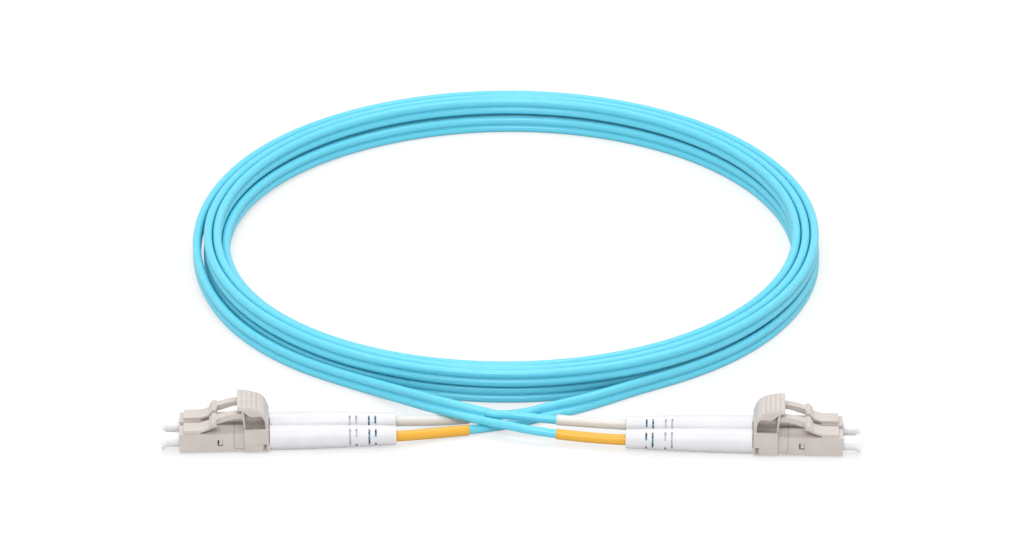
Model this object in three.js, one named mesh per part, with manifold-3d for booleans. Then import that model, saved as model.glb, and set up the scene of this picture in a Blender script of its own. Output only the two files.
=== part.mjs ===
// Duplex fibre optic patch cord, 3 m of aqua zipcord wound in a round coil on a table.
// Millimetres, +Z up. The origin is on the table, midway between the two duplex plugs.
// Each plug's own frame has its origin under the middle of the clip's rear face, on the table,
// with +X towards the mating end and Y across the pair. The plug rests on its two boots.

import * as THREE from 'three';
import { mergeVertices } from 'three/addons/utils/BufferGeometryUtils.js';
import Module from 'manifold-3d';

const wasm = await Module();
wasm.setup();

// ---- driving dimensions ----

// the pair and how it lies
const PAIR_PITCH = 6.25; // between the two connector axes of a duplex plug
const AXIS_HEIGHT = 2.8; // connector axes above the table
const FIT_GAP = 0.05; // pieces that snap or slide together
const JOIN_GAP = 0.25; // moving pieces and hinge lines at rest
const ROUND = 20; // sides of a turned piece

// connector body
const BODY_WIDTH = 4.5; // square body
const BODY_FRONT = 20.15; // front face, ahead of the clip's rear face
const BODY_JOINT = 7.85; // where the housing ends and the rear body begins
const FRONT_BORE_R = 1.95;
const FRONT_BORE_DEPTH = 3.4;
const SEAT_WALL = 1.0; // wall that the ferrule collar is pressed against
const CAVITY_WIDTH = 3.5; // square cavity behind the seat wall
const WINDOW_LENGTH = 1.2;
const WINDOW_HEIGHT = 1.6;
const WINDOW_REAR = 10.35; // rear edge of the snap window

// latch arm
const LATCH_WIDTH = 3.9;
const LATCH_TAIL_WIDTH = 2.0;
const LUG_SPAN = 4.8;
const LATCH_BLOCK_FRONT = 19.15;
const LATCH_BLOCK_REAR = 15.55;
const LATCH_BLOCK_HEIGHT = 0.85;

// ferrule, collar, spring and fibre
const FERRULE_R = 0.625;
const FERRULE_TIP = 22.15;
const FERRULE_REAR = 13.55;
const COLLAR_R = 1.45;
const COLLAR_NECK_R = 1.1;
const COLLAR_REAR = 12.95;
const COLLAR_SHOULDER = 14.65;
const COLLAR_TUBE_R = 0.8;
const COLLAR_TUBE_REAR = 10.65;
const SPRING_R = 1.22;
const SPRING_WIRE = 0.3;
const FIBRE_R = 0.45;
const FIBRE_BORE_R = 0.55;
const FIBRE_TIP = 12.05;

// rear body, crimp ring and boot
const NOSE_FRONT = 11.6; // more than the ferrule's 1 mm float behind the collar
const NOSE_BORE_R = 1.3;
const NOSE_BORE_REAR = 8.25;
const REAR_BODY_REAR = 1.0;
const CLIP_SEAT_TOP = 1.2; // its top inside the clip, above the axis
const CRIMP_TUBE_R = 1.45;
const CRIMP_TUBE_REAR = -3.6;
const CRIMP_RING_R = 1.85;
const CRIMP_RING_FRONT = -0.45;
const CRIMP_RING_LENGTH = 5.0;
const BOOT_LENGTH = 28.55;
const BOOT_FRONT_R = 2.83;
const BOOT_REAR_R = 2.15;
const BOOT_TAPER = 1.9; // power of the taper: the boot narrows faster towards its rear
const BOOT_FRONT_BORE_R = 2.0;
const BOOT_FRONT_BORE_DEPTH = 6.0;
const BOOT_NECK_R = 1.3;
const BOOT_MOUTH_R = 1.8;
const BOOT_MOUTH_DEPTH = 14.7;
const SLIT_WIDTH = 0.28;
const SLIT_FLAT = BOOT_MOUTH_R - 0.12; // a slit is sawn to a flat this far from the axis
const SLIT_PLACES = [-18.27, -19.73, -22.6, -24.05]; // sides, top and bottom, sides, ...

// dust cap
const CAP_R = 1.65;
const CAP_INNER_END = 17.25;
const CAP_FLANGE_FRONT = 24.2;
const CAP_FLANGE_LENGTH = 1.0;
const CAP_FLANGE_R = 2.2;
const CAP_BORE_R = 0.85;
const CAP_BORE_END = 22.85;

// duplex clip and its trigger
const CLIP_LENGTH = 5.55;
const CLIP_WALL = 0.45;
const CLIP_SIDE_TOP = 6.2;
const CLIP_REAR_WALL = 0.8;
const CLIP_REAR_TOP = 6.1;
const CLIP_FLOOR = 0.45; // under the rear bodies, flush with the housings' undersides
const CLIP_RIB_TOP = 4.2;
const CLIP_HOLE_R = 1.95;
const CLIP_SLOT_REAR = 0.5;
const CLIP_SLOT_LENGTH = 0.75;
const CLIP_SLOT_RISE = 0.4; // from the clip's underside
const CLIP_SLOT_HEIGHT = 1.6;
const TRIGGER_WIDTH = 9.2;
const TRIGGER_SKIN = 0.6;
const PRESSER_DEPTH = 0.85; // bar under the pad that pushes on the latch tails
const PRESSER_REAR = 5.4;
const PRESSER_LENGTH = 0.4;
const CHEEK_WALL = 0.35;
const RIB_COUNT = 5; // grip ribs across the pad
const RIB_PITCH = 1.08;
const RIB_LENGTH = 0.82;
const RIB_HEIGHT = 0.17;

// cord
const STRAND_D = 2.0;
const STRAND_PITCH = 2.15; // between the two strands of the zipcord
const SLEEVE_R = 1.22;
const SLEEVE_BORE_R = 1.1;
const SLEEVE_HIDDEN = 3.0; // length inside the boot
const CORD_GAP = 0.3; // where one length of cord meets the next
const TABLE_GAP = 0.005;

// coil
const COIL_CENTRE = [-0.45, 92.47];
const COIL_RADIUS = 73.6; // first turn, to the middle of the zipcord
const COIL_STRETCH = 1.3; // how much more it reaches to the front and back
const TURN_PITCH = 2.17; // beside each other
const LAYER_PITCH = 4.6; // on each other
const COIL_STEPS = 24; // per turn
const COIL_START_ANGLE = 300; // degrees, counter-clockwise from +X
const COIL_RINGS = 133; // steps from end to end, 5.54 turns
const REVERSE_RING = 65; // where the spiral turns outwards again
const COIL_STRAND_HALF_WIDTH = 0.83; // each strand, as modelled

// where the two plugs lie, and how much of each marker sleeve shows outside its boot
const ENDS = {
  left: { x: -54.64, y: 0.75, heading: 182.2, near: 1, sleeveShown: 17.1 },
  right: { x: 54.64, y: -0.91, heading: -2.2, near: -1, sleeveShown: 15.9 },
};

// ---- materials ----

const material = (color, roughness, metalness = 0) =>
  new THREE.MeshStandardMaterial({ color, roughness, metalness, flatShading: true });

const beigePlastic = material('#cdc4ba', 0.55);
const whiteBoot = material('#f1f1f2', 0.6);
const capPlastic = material('#e9e9f4', 0.35);
const zirconia = material('#f4f2ee', 0.2);
const platedMetal = material('#b9bcc0', 0.3, 0.9);
const springSteel = material('#8f9296', 0.35, 1.0);
const fibreBuffer = material('#6fd0e2', 0.5);
const aquaJacket = material('#5fcbe0', 0.45);
const yellowSleeve = material('#eab03a', 0.5);
const whiteSleeve = material('#ecebe8', 0.5);

// ---- geometry helpers ----

// A closed mesh with shared corners, no zero triangles and its faces pointing out. Corners
// are merged twice, a little shifted, so that rounding can't leave two of them apart.
function closed(geometry) {
  const bare = geometry.clone();
  bare.deleteAttribute('normal');
  bare.deleteAttribute('uv');
  const shift = 3e-5;
  const once = mergeVertices(bare, 1e-4).translate(shift, shift, shift);
  const merged = mergeVertices(once, 1e-4).translate(-shift, -shift, -shift);
  const p = merged.attributes.position;
  const source = merged.index.array;
  const kept = [];
  const a = new THREE.Vector3();
  const b = new THREE.Vector3();
  const c = new THREE.Vector3();
  let volume = 0;
  for (let i = 0; i < source.length; i += 3) {
    const [ia, ib, ic] = [source[i], source[i + 1], source[i + 2]];
    if (ia === ib || ib === ic || ic === ia) continue;
    a.fromBufferAttribute(p, ia);
    b.fromBufferAttribute(p, ib);
    c.fromBufferAttribute(p, ic);
    volume += a.dot(b.cross(c));
    kept.push(ia, ib, ic);
  }
  if (volume < 0) kept.reverse();
  merged.setIndex(kept);
  return merged;
}

function toSolid(geometry) {
  const g = closed(geometry);
  const mesh = new wasm.Mesh({
    numProp: 3,
    vertProperties: Float32Array.from(g.attributes.position.array),
    triVerts: Uint32Array.from(g.index.array),
  });
  mesh.merge();
  return new wasm.Manifold(mesh);
}

function fromSolid(solid) {
  const mesh = solid.getMesh();
  const g = new THREE.BufferGeometry();
  g.setAttribute('position', new THREE.BufferAttribute(Float32Array.from(mesh.vertProperties), 3));
  g.setIndex(new THREE.BufferAttribute(Uint32Array.from(mesh.triVerts), 1));
  return g;
}

const join = (first, ...others) => others.reduce((sum, g) => sum.add(toSolid(g)), toSolid(first));
const cut = (solid, ...tools) => tools.reduce((rest, g) => rest.subtract(toSolid(g)), solid);

function block(x0, x1, y0, y1, z0, z1) {
  const g = new THREE.BoxGeometry(x1 - x0, y1 - y0, z1 - z0);
  return g.translate((x0 + x1) / 2, (y0 + y1) / 2, (z0 + z1) / 2);
}

// A profile in X and Z, carried along Y between y0 and y1.
function prism(profile, y0, y1) {
  const shape = new THREE.Shape(profile.map(([x, z]) => new THREE.Vector2(x, z)));
  const g = new THREE.ExtrudeGeometry(shape, { depth: y1 - y0, bevelEnabled: false });
  return g.rotateX(Math.PI / 2).translate(0, y1, 0);
}

// A profile of [x, radius] points turned about the X axis.
function turned(profile, sides = ROUND) {
  const points = profile.map(([x, r]) => new THREE.Vector2(r, x));
  const g = new THREE.LatheGeometry(points, sides);
  return g.rotateZ(-Math.PI / 2).rotateX(Math.PI / sides);
}

const rod = (x0, x1, r, sides = ROUND) => turned([[x0, 0], [x0, r], [x1, r], [x1, 0]], sides);

const tube = (x0, x1, outer, inner, sides = ROUND) =>
  turned([[x0, inner], [x0, outer], [x1, outer], [x1, inner], [x0, inner]], sides);

// A flat circle of n corners, for sweeping along a path.
function ring(radius, n) {
  const points = [];
  for (let i = 0; i < n; i++) {
    const angle = (2 * Math.PI * i) / n;
    points.push(new THREE.Vector2(radius * Math.cos(angle), radius * Math.sin(angle)));
  }
  return points;
}

// ---- pieces of one connector, in the frame of its own axis ----

const HALF = BODY_WIDTH / 2;
const SEAT_FRONT = BODY_FRONT - FRONT_BORE_DEPTH;
const SEAT_REAR = SEAT_FRONT - SEAT_WALL;
const WINDOW_FRONT = WINDOW_REAR + WINDOW_LENGTH;

// Front housing: square shell with the fixed block that the latch arm springs from.
function makeHousing() {
  const shell = join(
    block(BODY_JOINT, BODY_FRONT, -HALF, HALF, -HALF, HALF),
    block(
      LATCH_BLOCK_REAR, LATCH_BLOCK_FRONT,
      -LATCH_WIDTH / 2, LATCH_WIDTH / 2,
      HALF - 0.3, HALF + LATCH_BLOCK_HEIGHT,
    ),
  );
  const cavity = CAVITY_WIDTH / 2;
  const past = 1;
  return fromSolid(cut(
    shell,
    rod(SEAT_FRONT, BODY_FRONT + past, FRONT_BORE_R),
    rod(SEAT_REAR - past, SEAT_FRONT + past, COLLAR_NECK_R + FIT_GAP),
    block(BODY_JOINT - past, SEAT_REAR, -cavity, cavity, -cavity, cavity),
    block(
      WINDOW_REAR, WINDOW_FRONT,
      -HALF - past, HALF + past,
      -WINDOW_HEIGHT / 2, WINDOW_HEIGHT / 2,
    ),
  ));
}

// Latch arm: rises backwards from the block, with a lug on each side and a narrow tail that
// levels out under the trigger.
const LATCH_FRONT = LATCH_BLOCK_REAR - JOIN_GAP;
const LATCH_LUG_FRONT = 13.4;
const LATCH_LUG_REAR = 11.65;
const LATCH_KNEE_X = 11.9; // where the ramp ends and the tail begins
const LATCH_KNEE_Z = HALF + 3.3;
const LATCH_TAIL_REAR = 5.3;
const LATCH_TAIL_TOP = HALF + 4.35;
const LATCH_TAIL_BOTTOM = HALF + 3.25;

function makeLatchArm() {
  const top = HALF + LATCH_BLOCK_HEIGHT;
  const front = [
    [LATCH_FRONT, HALF + 0.3], [LATCH_FRONT, top],
    [13.4, HALF + 1.6], [LATCH_KNEE_X, LATCH_KNEE_Z], [LATCH_LUG_REAR, LATCH_KNEE_Z],
    [LATCH_LUG_REAR, HALF + 1.9], [12.5, HALF + 1.45], [13.6, HALF + 0.95],
  ];
  const tail = [
    [LATCH_KNEE_X, HALF + 1.85], [LATCH_KNEE_X, LATCH_KNEE_Z],
    [9.4, HALF + 4.0], [7.6, LATCH_TAIL_TOP], [LATCH_TAIL_REAR, LATCH_TAIL_TOP],
    [LATCH_TAIL_REAR, LATCH_TAIL_BOTTOM], [7.9, HALF + 3.2], [9.4, HALF + 2.7],
  ];
  const lug = [
    [LATCH_LUG_FRONT, HALF + 1.9], [LATCH_LUG_FRONT - 0.8, HALF + 3.0],
    [LATCH_LUG_REAR, HALF + 3.0], [LATCH_LUG_REAR, HALF + 2.0],
  ];
  return fromSolid(join(
    prism(front, -LATCH_WIDTH / 2, LATCH_WIDTH / 2),
    prism(tail, -LATCH_TAIL_WIDTH / 2, LATCH_TAIL_WIDTH / 2),
    prism(lug, -LUG_SPAN / 2, LUG_SPAN / 2),
  ));
}

// Ceramic ferrule with a chamfered tip.
function makeFerrule() {
  return closed(turned([
    [FERRULE_REAR, 0], [FERRULE_REAR, FERRULE_R], [FERRULE_TIP - 0.3, FERRULE_R],
    [FERRULE_TIP, FERRULE_R - 0.25], [FERRULE_TIP, 0],
  ], 16));
}

// Metal collar that holds the ferrule: cup in front, tube for the fibre behind.
function makeCollar() {
  const pocket = FERRULE_REAR - FIT_GAP;
  return closed(turned([
    [COLLAR_TUBE_REAR, FIBRE_BORE_R], [COLLAR_TUBE_REAR, COLLAR_TUBE_R],
    [COLLAR_REAR, COLLAR_TUBE_R], [COLLAR_REAR, COLLAR_R], [COLLAR_SHOULDER, COLLAR_R],
    [SEAT_REAR - FIT_GAP, COLLAR_NECK_R], [SEAT_REAR - FIT_GAP, FERRULE_R + FIT_GAP],
    [pocket, FERRULE_R + FIT_GAP], [pocket, FIBRE_BORE_R], [COLLAR_TUBE_REAR, FIBRE_BORE_R],
  ], 16));
}

// Spring between the rear body's inner shoulder and the collar.
function makeSpring() {
  return closed(tube(
    NOSE_BORE_REAR + JOIN_GAP, COLLAR_REAR - JOIN_GAP,
    SPRING_R, SPRING_R - SPRING_WIRE, 16,
  ));
}

// Rear body: nose that snaps into the housing, seat in the clip, tube for the crimp ring.
function makeRearBody() {
  const nose = CAVITY_WIDTH / 2 - FIT_GAP;
  const seatBottom = -HALF + CLIP_FLOOR + FIT_GAP;
  const tabHalf = WINDOW_HEIGHT / 2 - FIT_GAP;
  const tabReach = HALF - 0.1;
  const past = 1;
  const solid = join(
    block(CLIP_LENGTH, BODY_JOINT - FIT_GAP, -HALF, HALF, -HALF, HALF),
    block(REAR_BODY_REAR, BODY_JOINT - FIT_GAP, -HALF, HALF, seatBottom, CLIP_SEAT_TOP),
    block(REAR_BODY_REAR, NOSE_FRONT, -nose, nose, -nose, CLIP_SEAT_TOP),
    block(BODY_JOINT - past, NOSE_FRONT, -nose, nose, -nose, nose),
    block(WINDOW_REAR + FIT_GAP, WINDOW_FRONT - FIT_GAP, -tabReach, tabReach, -tabHalf, tabHalf),
    rod(CRIMP_TUBE_REAR, REAR_BODY_REAR + past, CRIMP_TUBE_R),
  );
  return fromSolid(cut(
    solid,
    rod(NOSE_BORE_REAR, NOSE_FRONT + past, NOSE_BORE_R),
    rod(CRIMP_TUBE_REAR - past, NOSE_BORE_REAR + past, FIBRE_BORE_R, 12),
  ));
}

const makeCrimpRing = () => closed(tube(
  CRIMP_RING_FRONT - CRIMP_RING_LENGTH, CRIMP_RING_FRONT,
  CRIMP_RING_R, CRIMP_TUBE_R + FIT_GAP,
));

const makeFibre = () => closed(rod(CRIMP_TUBE_REAR + CORD_GAP, FIBRE_TIP, FIBRE_R, 10));

// Boot: long tapered sleeve with four rings of flex slits near its rear end.
const BOOT_FRONT = -FIT_GAP - 0.1;
const BOOT_REAR = BOOT_FRONT - BOOT_LENGTH;

function bootRadius(x) {
  const share = (BOOT_FRONT - x) / BOOT_LENGTH;
  return BOOT_FRONT_R - (BOOT_FRONT_R - BOOT_REAR_R) * share ** BOOT_TAPER;
}

function makeBoot() {
  const mouth = BOOT_REAR + BOOT_MOUTH_DEPTH;
  const shoulder = BOOT_FRONT - BOOT_FRONT_BORE_DEPTH;
  const taper = [0.8, 0.55, 0.25].map((share) => {
    const x = BOOT_FRONT - BOOT_LENGTH * share;
    return [x, bootRadius(x)];
  });
  const skin = turned([
    [BOOT_REAR, BOOT_MOUTH_R], [BOOT_REAR, BOOT_REAR_R - 0.12], [BOOT_REAR + 0.15, BOOT_REAR_R],
    ...taper, [BOOT_FRONT, BOOT_FRONT_R], [BOOT_FRONT, BOOT_FRONT_BORE_R],
    [shoulder, BOOT_FRONT_BORE_R], [shoulder - 0.7, BOOT_NECK_R],
    [mouth + 0.5, BOOT_NECK_R], [mouth, BOOT_MOUTH_R], [BOOT_REAR, BOOT_MOUTH_R],
  ]);
  const past = 1;
  const slits = SLIT_PLACES.flatMap((x, i) => [-1, 1].map((side) => {
    const from = Math.min(side * SLIT_FLAT, side * (BOOT_FRONT_R + past));
    const to = Math.max(side * SLIT_FLAT, side * (BOOT_FRONT_R + past));
    const [x0, x1] = [x - SLIT_WIDTH / 2, x + SLIT_WIDTH / 2];
    return i % 2 === 0
      ? block(x0, x1, from, to, -BOOT_FRONT_R, BOOT_FRONT_R)
      : block(x0, x1, -BOOT_FRONT_R, BOOT_FRONT_R, from, to);
  }));
  return fromSolid(cut(toSolid(skin), ...slits));
}

// Dust cap: soft plug over the ferrule, with a flange to pull it off by.
function makeDustCap() {
  const flangeRear = CAP_FLANGE_FRONT - CAP_FLANGE_LENGTH;
  return closed(turned([
    [CAP_INNER_END, CAP_BORE_R], [CAP_INNER_END, CAP_R - 0.2], [CAP_INNER_END + 0.4, CAP_R],
    [flangeRear, CAP_R], [flangeRear + 0.3, CAP_FLANGE_R - 0.2],
    [CAP_FLANGE_FRONT, CAP_FLANGE_R], [CAP_FLANGE_FRONT, 0],
    [CAP_BORE_END, 0], [CAP_BORE_END, CAP_BORE_R], [CAP_INNER_END, CAP_BORE_R],
  ]));
}

// ---- duplex clip and trigger, in the plug's frame ----

const PAIR_HALF = PAIR_PITCH / 2;
const CLIP_INNER = PAIR_HALF + HALF + FIT_GAP;
const CLIP_OUTER = CLIP_INNER + CLIP_WALL;
const RIB_HALF = PAIR_HALF - HALF - FIT_GAP;
const CLIP_BOTTOM = AXIS_HEIGHT - HALF;

function makeClip() {
  const past = 1;
  const solid = join(
    block(0, CLIP_LENGTH, -CLIP_OUTER, CLIP_OUTER, CLIP_BOTTOM, CLIP_BOTTOM + CLIP_FLOOR),
    block(0, CLIP_LENGTH, CLIP_INNER, CLIP_OUTER, CLIP_BOTTOM, CLIP_SIDE_TOP),
    block(0, CLIP_LENGTH, -CLIP_OUTER, -CLIP_INNER, CLIP_BOTTOM, CLIP_SIDE_TOP),
    block(0, CLIP_LENGTH, -RIB_HALF, RIB_HALF, CLIP_BOTTOM, CLIP_RIB_TOP),
    block(0, CLIP_REAR_WALL, -CLIP_OUTER, CLIP_OUTER, CLIP_BOTTOM, CLIP_REAR_TOP),
  );
  const slotZ = CLIP_BOTTOM + CLIP_SLOT_RISE;
  const tools = [];
  for (const side of [-1, 1]) {
    tools.push(rod(-past, CLIP_REAR_WALL + past, CLIP_HOLE_R).translate(0, side * PAIR_HALF, AXIS_HEIGHT));
    const wall = side * (CLIP_INNER + CLIP_WALL / 2);
    tools.push(block(
      CLIP_SLOT_REAR, CLIP_SLOT_REAR + CLIP_SLOT_LENGTH,
      wall - CLIP_WALL, wall + CLIP_WALL,
      slotZ, slotZ + CLIP_SLOT_HEIGHT,
    ));
  }
  return fromSolid(cut(solid, ...tools));
}

// Trigger: ribbed thumb pad that curves down at the rear to a thin hinge on the clip's rear
// wall, with a windowed cheek on each side. A bar under the pad rests on the two latch tails.
const TRIGGER_FOOT_Z = CLIP_REAR_TOP + JOIN_GAP;
const TAIL_REST_Z = AXIS_HEIGHT + LATCH_TAIL_TOP + JOIN_GAP;
const TRIGGER_TOP_Z = TAIL_REST_Z + PRESSER_DEPTH + TRIGGER_SKIN;
const TRIGGER_FRONT = 7.05;
const CHEEK_LEG_BOTTOM = 5.45;
const CHEEK_LEG_FRONT = 5.5; // at its bottom end, so that it dips inside the clip when pressed
const CHEEK_LEG_REAR = 5.1;

// Corners of the pad's upper side, from the front edge back and down to the foot.
const PAD_TOP = [
  [TRIGGER_FRONT, 0], [5.5, -0.12], [3.7, -0.52], [1.9, -1.2],
  [1.0, -2.0], [0.5, -3.1], [0.0, -4.75],
].map(([x, drop]) => [x, Math.max(TRIGGER_TOP_Z + drop, TRIGGER_FOOT_Z)]);
// The same corners one skin deeper.
const PAD_UNDER = [
  [0.8, TRIGGER_FOOT_Z], [1.25, TRIGGER_TOP_Z - 3.4], [2.0, TRIGGER_TOP_Z - 2.3],
  [3.1, TRIGGER_TOP_Z - 1.45], [4.3, TRIGGER_TOP_Z - 0.88],
  [TRIGGER_FRONT, TRIGGER_TOP_Z - TRIGGER_SKIN],
];

function makeTrigger() {
  const halfWidth = TRIGGER_WIDTH / 2;
  const pad = prism([...PAD_TOP, ...PAD_UNDER], -halfWidth, halfWidth);
  const padBottom = TRIGGER_TOP_Z - TRIGGER_SKIN;
  const presserReach = PAIR_HALF + LATCH_TAIL_WIDTH / 2;
  const presser = block(
    PRESSER_REAR, PRESSER_REAR + PRESSER_LENGTH,
    -presserReach, presserReach,
    TAIL_REST_Z, padBottom + 0.1,
  );
  const cheek = [
    [6.05, padBottom], [CHEEK_LEG_FRONT, CHEEK_LEG_BOTTOM], [CHEEK_LEG_REAR, CHEEK_LEG_BOTTOM],
    [5.6, TRIGGER_TOP_Z - 0.9], [4.8, TRIGGER_TOP_Z - 2.0], [3.4, TRIGGER_TOP_Z - 2.3],
    [1.45, TRIGGER_TOP_Z - 2.25], [1.62, TRIGGER_TOP_Z - 1.8], [2.85, TRIGGER_TOP_Z - 1.0],
    [4.15, TRIGGER_TOP_Z - 0.5],
  ];
  const cheeks = [-halfWidth, halfWidth - CHEEK_WALL].map((y) => prism(cheek, y, y + CHEEK_WALL));
  const ribs = [];
  for (let i = 0; i < RIB_COUNT; i++) {
    const front = TRIGGER_FRONT - 0.1 - i * RIB_PITCH;
    const rear = front - RIB_LENGTH;
    const [zFront, zRear] = [padHeight(front), padHeight(rear)];
    ribs.push(prism(
      [[rear, zRear - 0.3], [front, zFront - 0.3], [front, zFront + RIB_HEIGHT], [rear, zRear + RIB_HEIGHT]],
      -halfWidth + 0.3, halfWidth - 0.3,
    ));
  }
  return fromSolid(join(pad, presser, ...cheeks, ...ribs));
}

// Height of the pad's upper side at a place along it.
function padHeight(x) {
  for (let i = 1; i < PAD_TOP.length; i++) {
    const [x0, z0] = PAD_TOP[i - 1];
    const [x1, z1] = PAD_TOP[i];
    if (x <= x0 && x >= x1) return z0 + ((z1 - z0) * (x0 - x)) / (x0 - x1);
  }
  return TRIGGER_TOP_Z;
}

// ---- cord ----

// Section of the zipcord: two strands, one over the other, with a waist between them.
const LOBE = STRAND_PITCH / 2;
const STRAND_R = STRAND_D / 2;
const ZIP_SECTION = [
  [0, LOBE + STRAND_R], [COIL_STRAND_HALF_WIDTH, LOBE + 0.2], [0.35, 0],
  [COIL_STRAND_HALF_WIDTH, -LOBE - 0.2], [0, -LOBE - STRAND_R],
  [-COIL_STRAND_HALF_WIDTH, -LOBE - 0.2], [-0.35, 0], [-COIL_STRAND_HALF_WIDTH, LOBE + 0.2],
];
const ZIP_REST_Z = LOBE + STRAND_R + TABLE_GAP;

// Section corners at one place. lean tips the upper strand to the right of the way along.
function zipRing(centre, tangent, leanDegrees) {
  const right = new THREE.Vector3().crossVectors(tangent, new THREE.Vector3(0, 0, 1)).normalize();
  const up = new THREE.Vector3().crossVectors(right, tangent).normalize();
  const lean = THREE.MathUtils.degToRad(leanDegrees);
  const axisA = right.clone().multiplyScalar(Math.cos(lean)).addScaledVector(up, -Math.sin(lean));
  const axisB = up.clone().multiplyScalar(Math.cos(lean)).addScaledVector(right, Math.sin(lean));
  return ZIP_SECTION.map(([a, b]) => centre.clone().addScaledVector(axisA, a).addScaledVector(axisB, b));
}

// One closed tube through rings of corners, with a fan on each end.
function loft(rings) {
  const n = rings[0].length;
  const positions = rings.flat().flatMap((v) => [v.x, v.y, v.z]);
  const index = [];
  for (let k = 0; k + 1 < rings.length; k++) {
    for (let i = 0; i < n; i++) {
      const a = k * n + i;
      const b = k * n + ((i + 1) % n);
      index.push(a, b, a + n, b, b + n, a + n);
    }
  }
  for (const [k, turn] of [[0, true], [rings.length - 1, false]]) {
    const middle = positions.length / 3;
    const sum = rings[k].reduce((s, v) => s.add(v), new THREE.Vector3()).divideScalar(n);
    positions.push(sum.x, sum.y, sum.z);
    for (let i = 0; i < n; i++) {
      const a = k * n + i;
      const b = k * n + ((i + 1) % n);
      index.push(...(turn ? [middle, b, a] : [middle, a, b]));
    }
  }
  const g = new THREE.BufferGeometry();
  g.setAttribute('position', new THREE.Float32BufferAttribute(positions, 3));
  g.setIndex(index);
  return closed(g);
}

// Coil: spirals in on the table, climbs one layer in the half turn where it reverses, and
// spirals out on top. ringNumber counts steps of 15 degrees from the first end.
function coilPoint(ringNumber) {
  const turns = ringNumber / COIL_STEPS;
  const reverse = REVERSE_RING / COIL_STEPS;
  const inward = Math.min(turns, reverse) - Math.max(turns - reverse, 0);
  const radius = COIL_RADIUS - TURN_PITCH * inward;
  const climb = THREE.MathUtils.smoothstep(turns, reverse - 0.25, reverse + 0.25);
  const angle = THREE.MathUtils.degToRad(COIL_START_ANGLE + 360 * turns);
  return new THREE.Vector3(
    COIL_CENTRE[0] + radius * Math.cos(angle),
    COIL_CENTRE[1] + (radius + COIL_STRETCH) * Math.sin(angle),
    ZIP_REST_Z + LAYER_PITCH * climb,
  );
}

function coilTangent(ringNumber) {
  return coilPoint(ringNumber + 0.05).sub(coilPoint(ringNumber - 0.05)).normalize();
}

function makeCoil() {
  const rings = [];
  const first = coilTangent(0);
  const last = coilTangent(COIL_RINGS);
  rings.push(zipRing(coilPoint(0).addScaledVector(first, -STRAND_D), first, 0));
  for (let k = 0; k <= COIL_RINGS; k++) rings.push(zipRing(coilPoint(k), coilTangent(k), 0));
  rings.push(zipRing(coilPoint(COIL_RINGS).addScaledVector(last, STRAND_D), last, 0));
  printLeastGap(rings.slice(1, -1));
  return loft(rings);
}

// Least distance between turns, on points along the edges of sections at the same angle.
function printLeastGap(rings) {
  const edgePoints = (k) => {
    const points = [];
    const ringNow = rings[k];
    const ringNext = rings[Math.min(k + 1, rings.length - 1)];
    for (const share of [0, 0.5]) {
      const corners = ringNow.map((v, i) => v.clone().lerp(ringNext[i], share));
      corners.forEach((v, i) => {
        const next = corners[(i + 1) % corners.length];
        for (let s = 0; s < 1; s += 0.125) points.push(v.clone().lerp(next, s));
      });
    }
    return points;
  };
  let least = Infinity;
  for (let k = 0; k + COIL_STEPS < rings.length; k++) {
    const here = edgePoints(k);
    for (let j = k + COIL_STEPS; j < rings.length; j += COIL_STEPS) {
      for (const a of here) {
        for (const b of edgePoints(j)) least = Math.min(least, a.distanceTo(b));
      }
    }
  }
  console.log(`coil: least gap to itself ${least.toFixed(3)} mm`);
}

// Free length of zipcord: centre points with the lean of the strands at each.
function makeZipRun(points, steps) {
  const curve = new THREE.CatmullRomCurve3(points.map(([x, y, z]) => new THREE.Vector3(x, y, z)));
  const rings = [];
  for (let i = 0; i <= steps; i++) {
    const u = i / steps;
    const t = curve.getUtoTmapping(u) * (points.length - 1);
    const k = Math.min(Math.floor(t), points.length - 2);
    const lean = THREE.MathUtils.lerp(points[k][3], points[k + 1][3], t - k);
    rings.push(zipRing(curve.getPointAt(u), curve.getTangentAt(u), lean));
  }
  return loft(rings);
}

// Points along the coil's line past its ends, for the first stretch of each tail.
function pastCoil(ringNumber, distance) {
  const sign = ringNumber === 0 ? -1 : 1;
  const p = coilPoint(ringNumber).addScaledVector(coilTangent(ringNumber), sign * distance);
  return [p.x, p.y, p.z, 0];
}

// The tail to the left plug lies on the table all the way.
const TAIL_LEFT = [
  pastCoil(0, STRAND_D + CORD_GAP),
  pastCoil(0, STRAND_D + CORD_GAP + 2),
  [28.9, 23.1, ZIP_REST_Z, 0],
  [21.9, 18.6, 2.07, 8],
  [14.7, 14.5, 2.0, 22],
  [9.4, 12.2, 1.84, 40],
  [6.6, 11.0, 1.71, 50],
];

// The tail to the right plug comes down outside the coil, then rises in a low hump over the
// other tail. x, y, z of the middle, and the lean of its upper strand (to the left).
const TAIL_RIGHT = [
  pastCoil(COIL_RINGS, STRAND_D + CORD_GAP),
  pastCoil(COIL_RINGS, STRAND_D + CORD_GAP + 2),
  [-66.3, 126.6, 6.6, 0],
  [-72.9, 109.3, 5.9, 0],
  [-75.1, 91.0, 4.75, 0],
  [-72.8, 73.3, 3.45, 0],
  [-67.2, 58.3, 2.45, 0],
  [-58.4, 44.5, 2.16, 0],
  [-47.2, 33.4, 2.12, 0],
  [-39.4, 27.9, 2.14, 0],
  [-31.7, 22.6, 2.4, -4],
  [-24.1, 15.7, 3.7, -12],
  [-16.6, 9.4, 4.75, -25],
  [-9.3, 6.2, 4.45, -42],
  [-5.9, 5.2, 4.12, -50],
];

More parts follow.
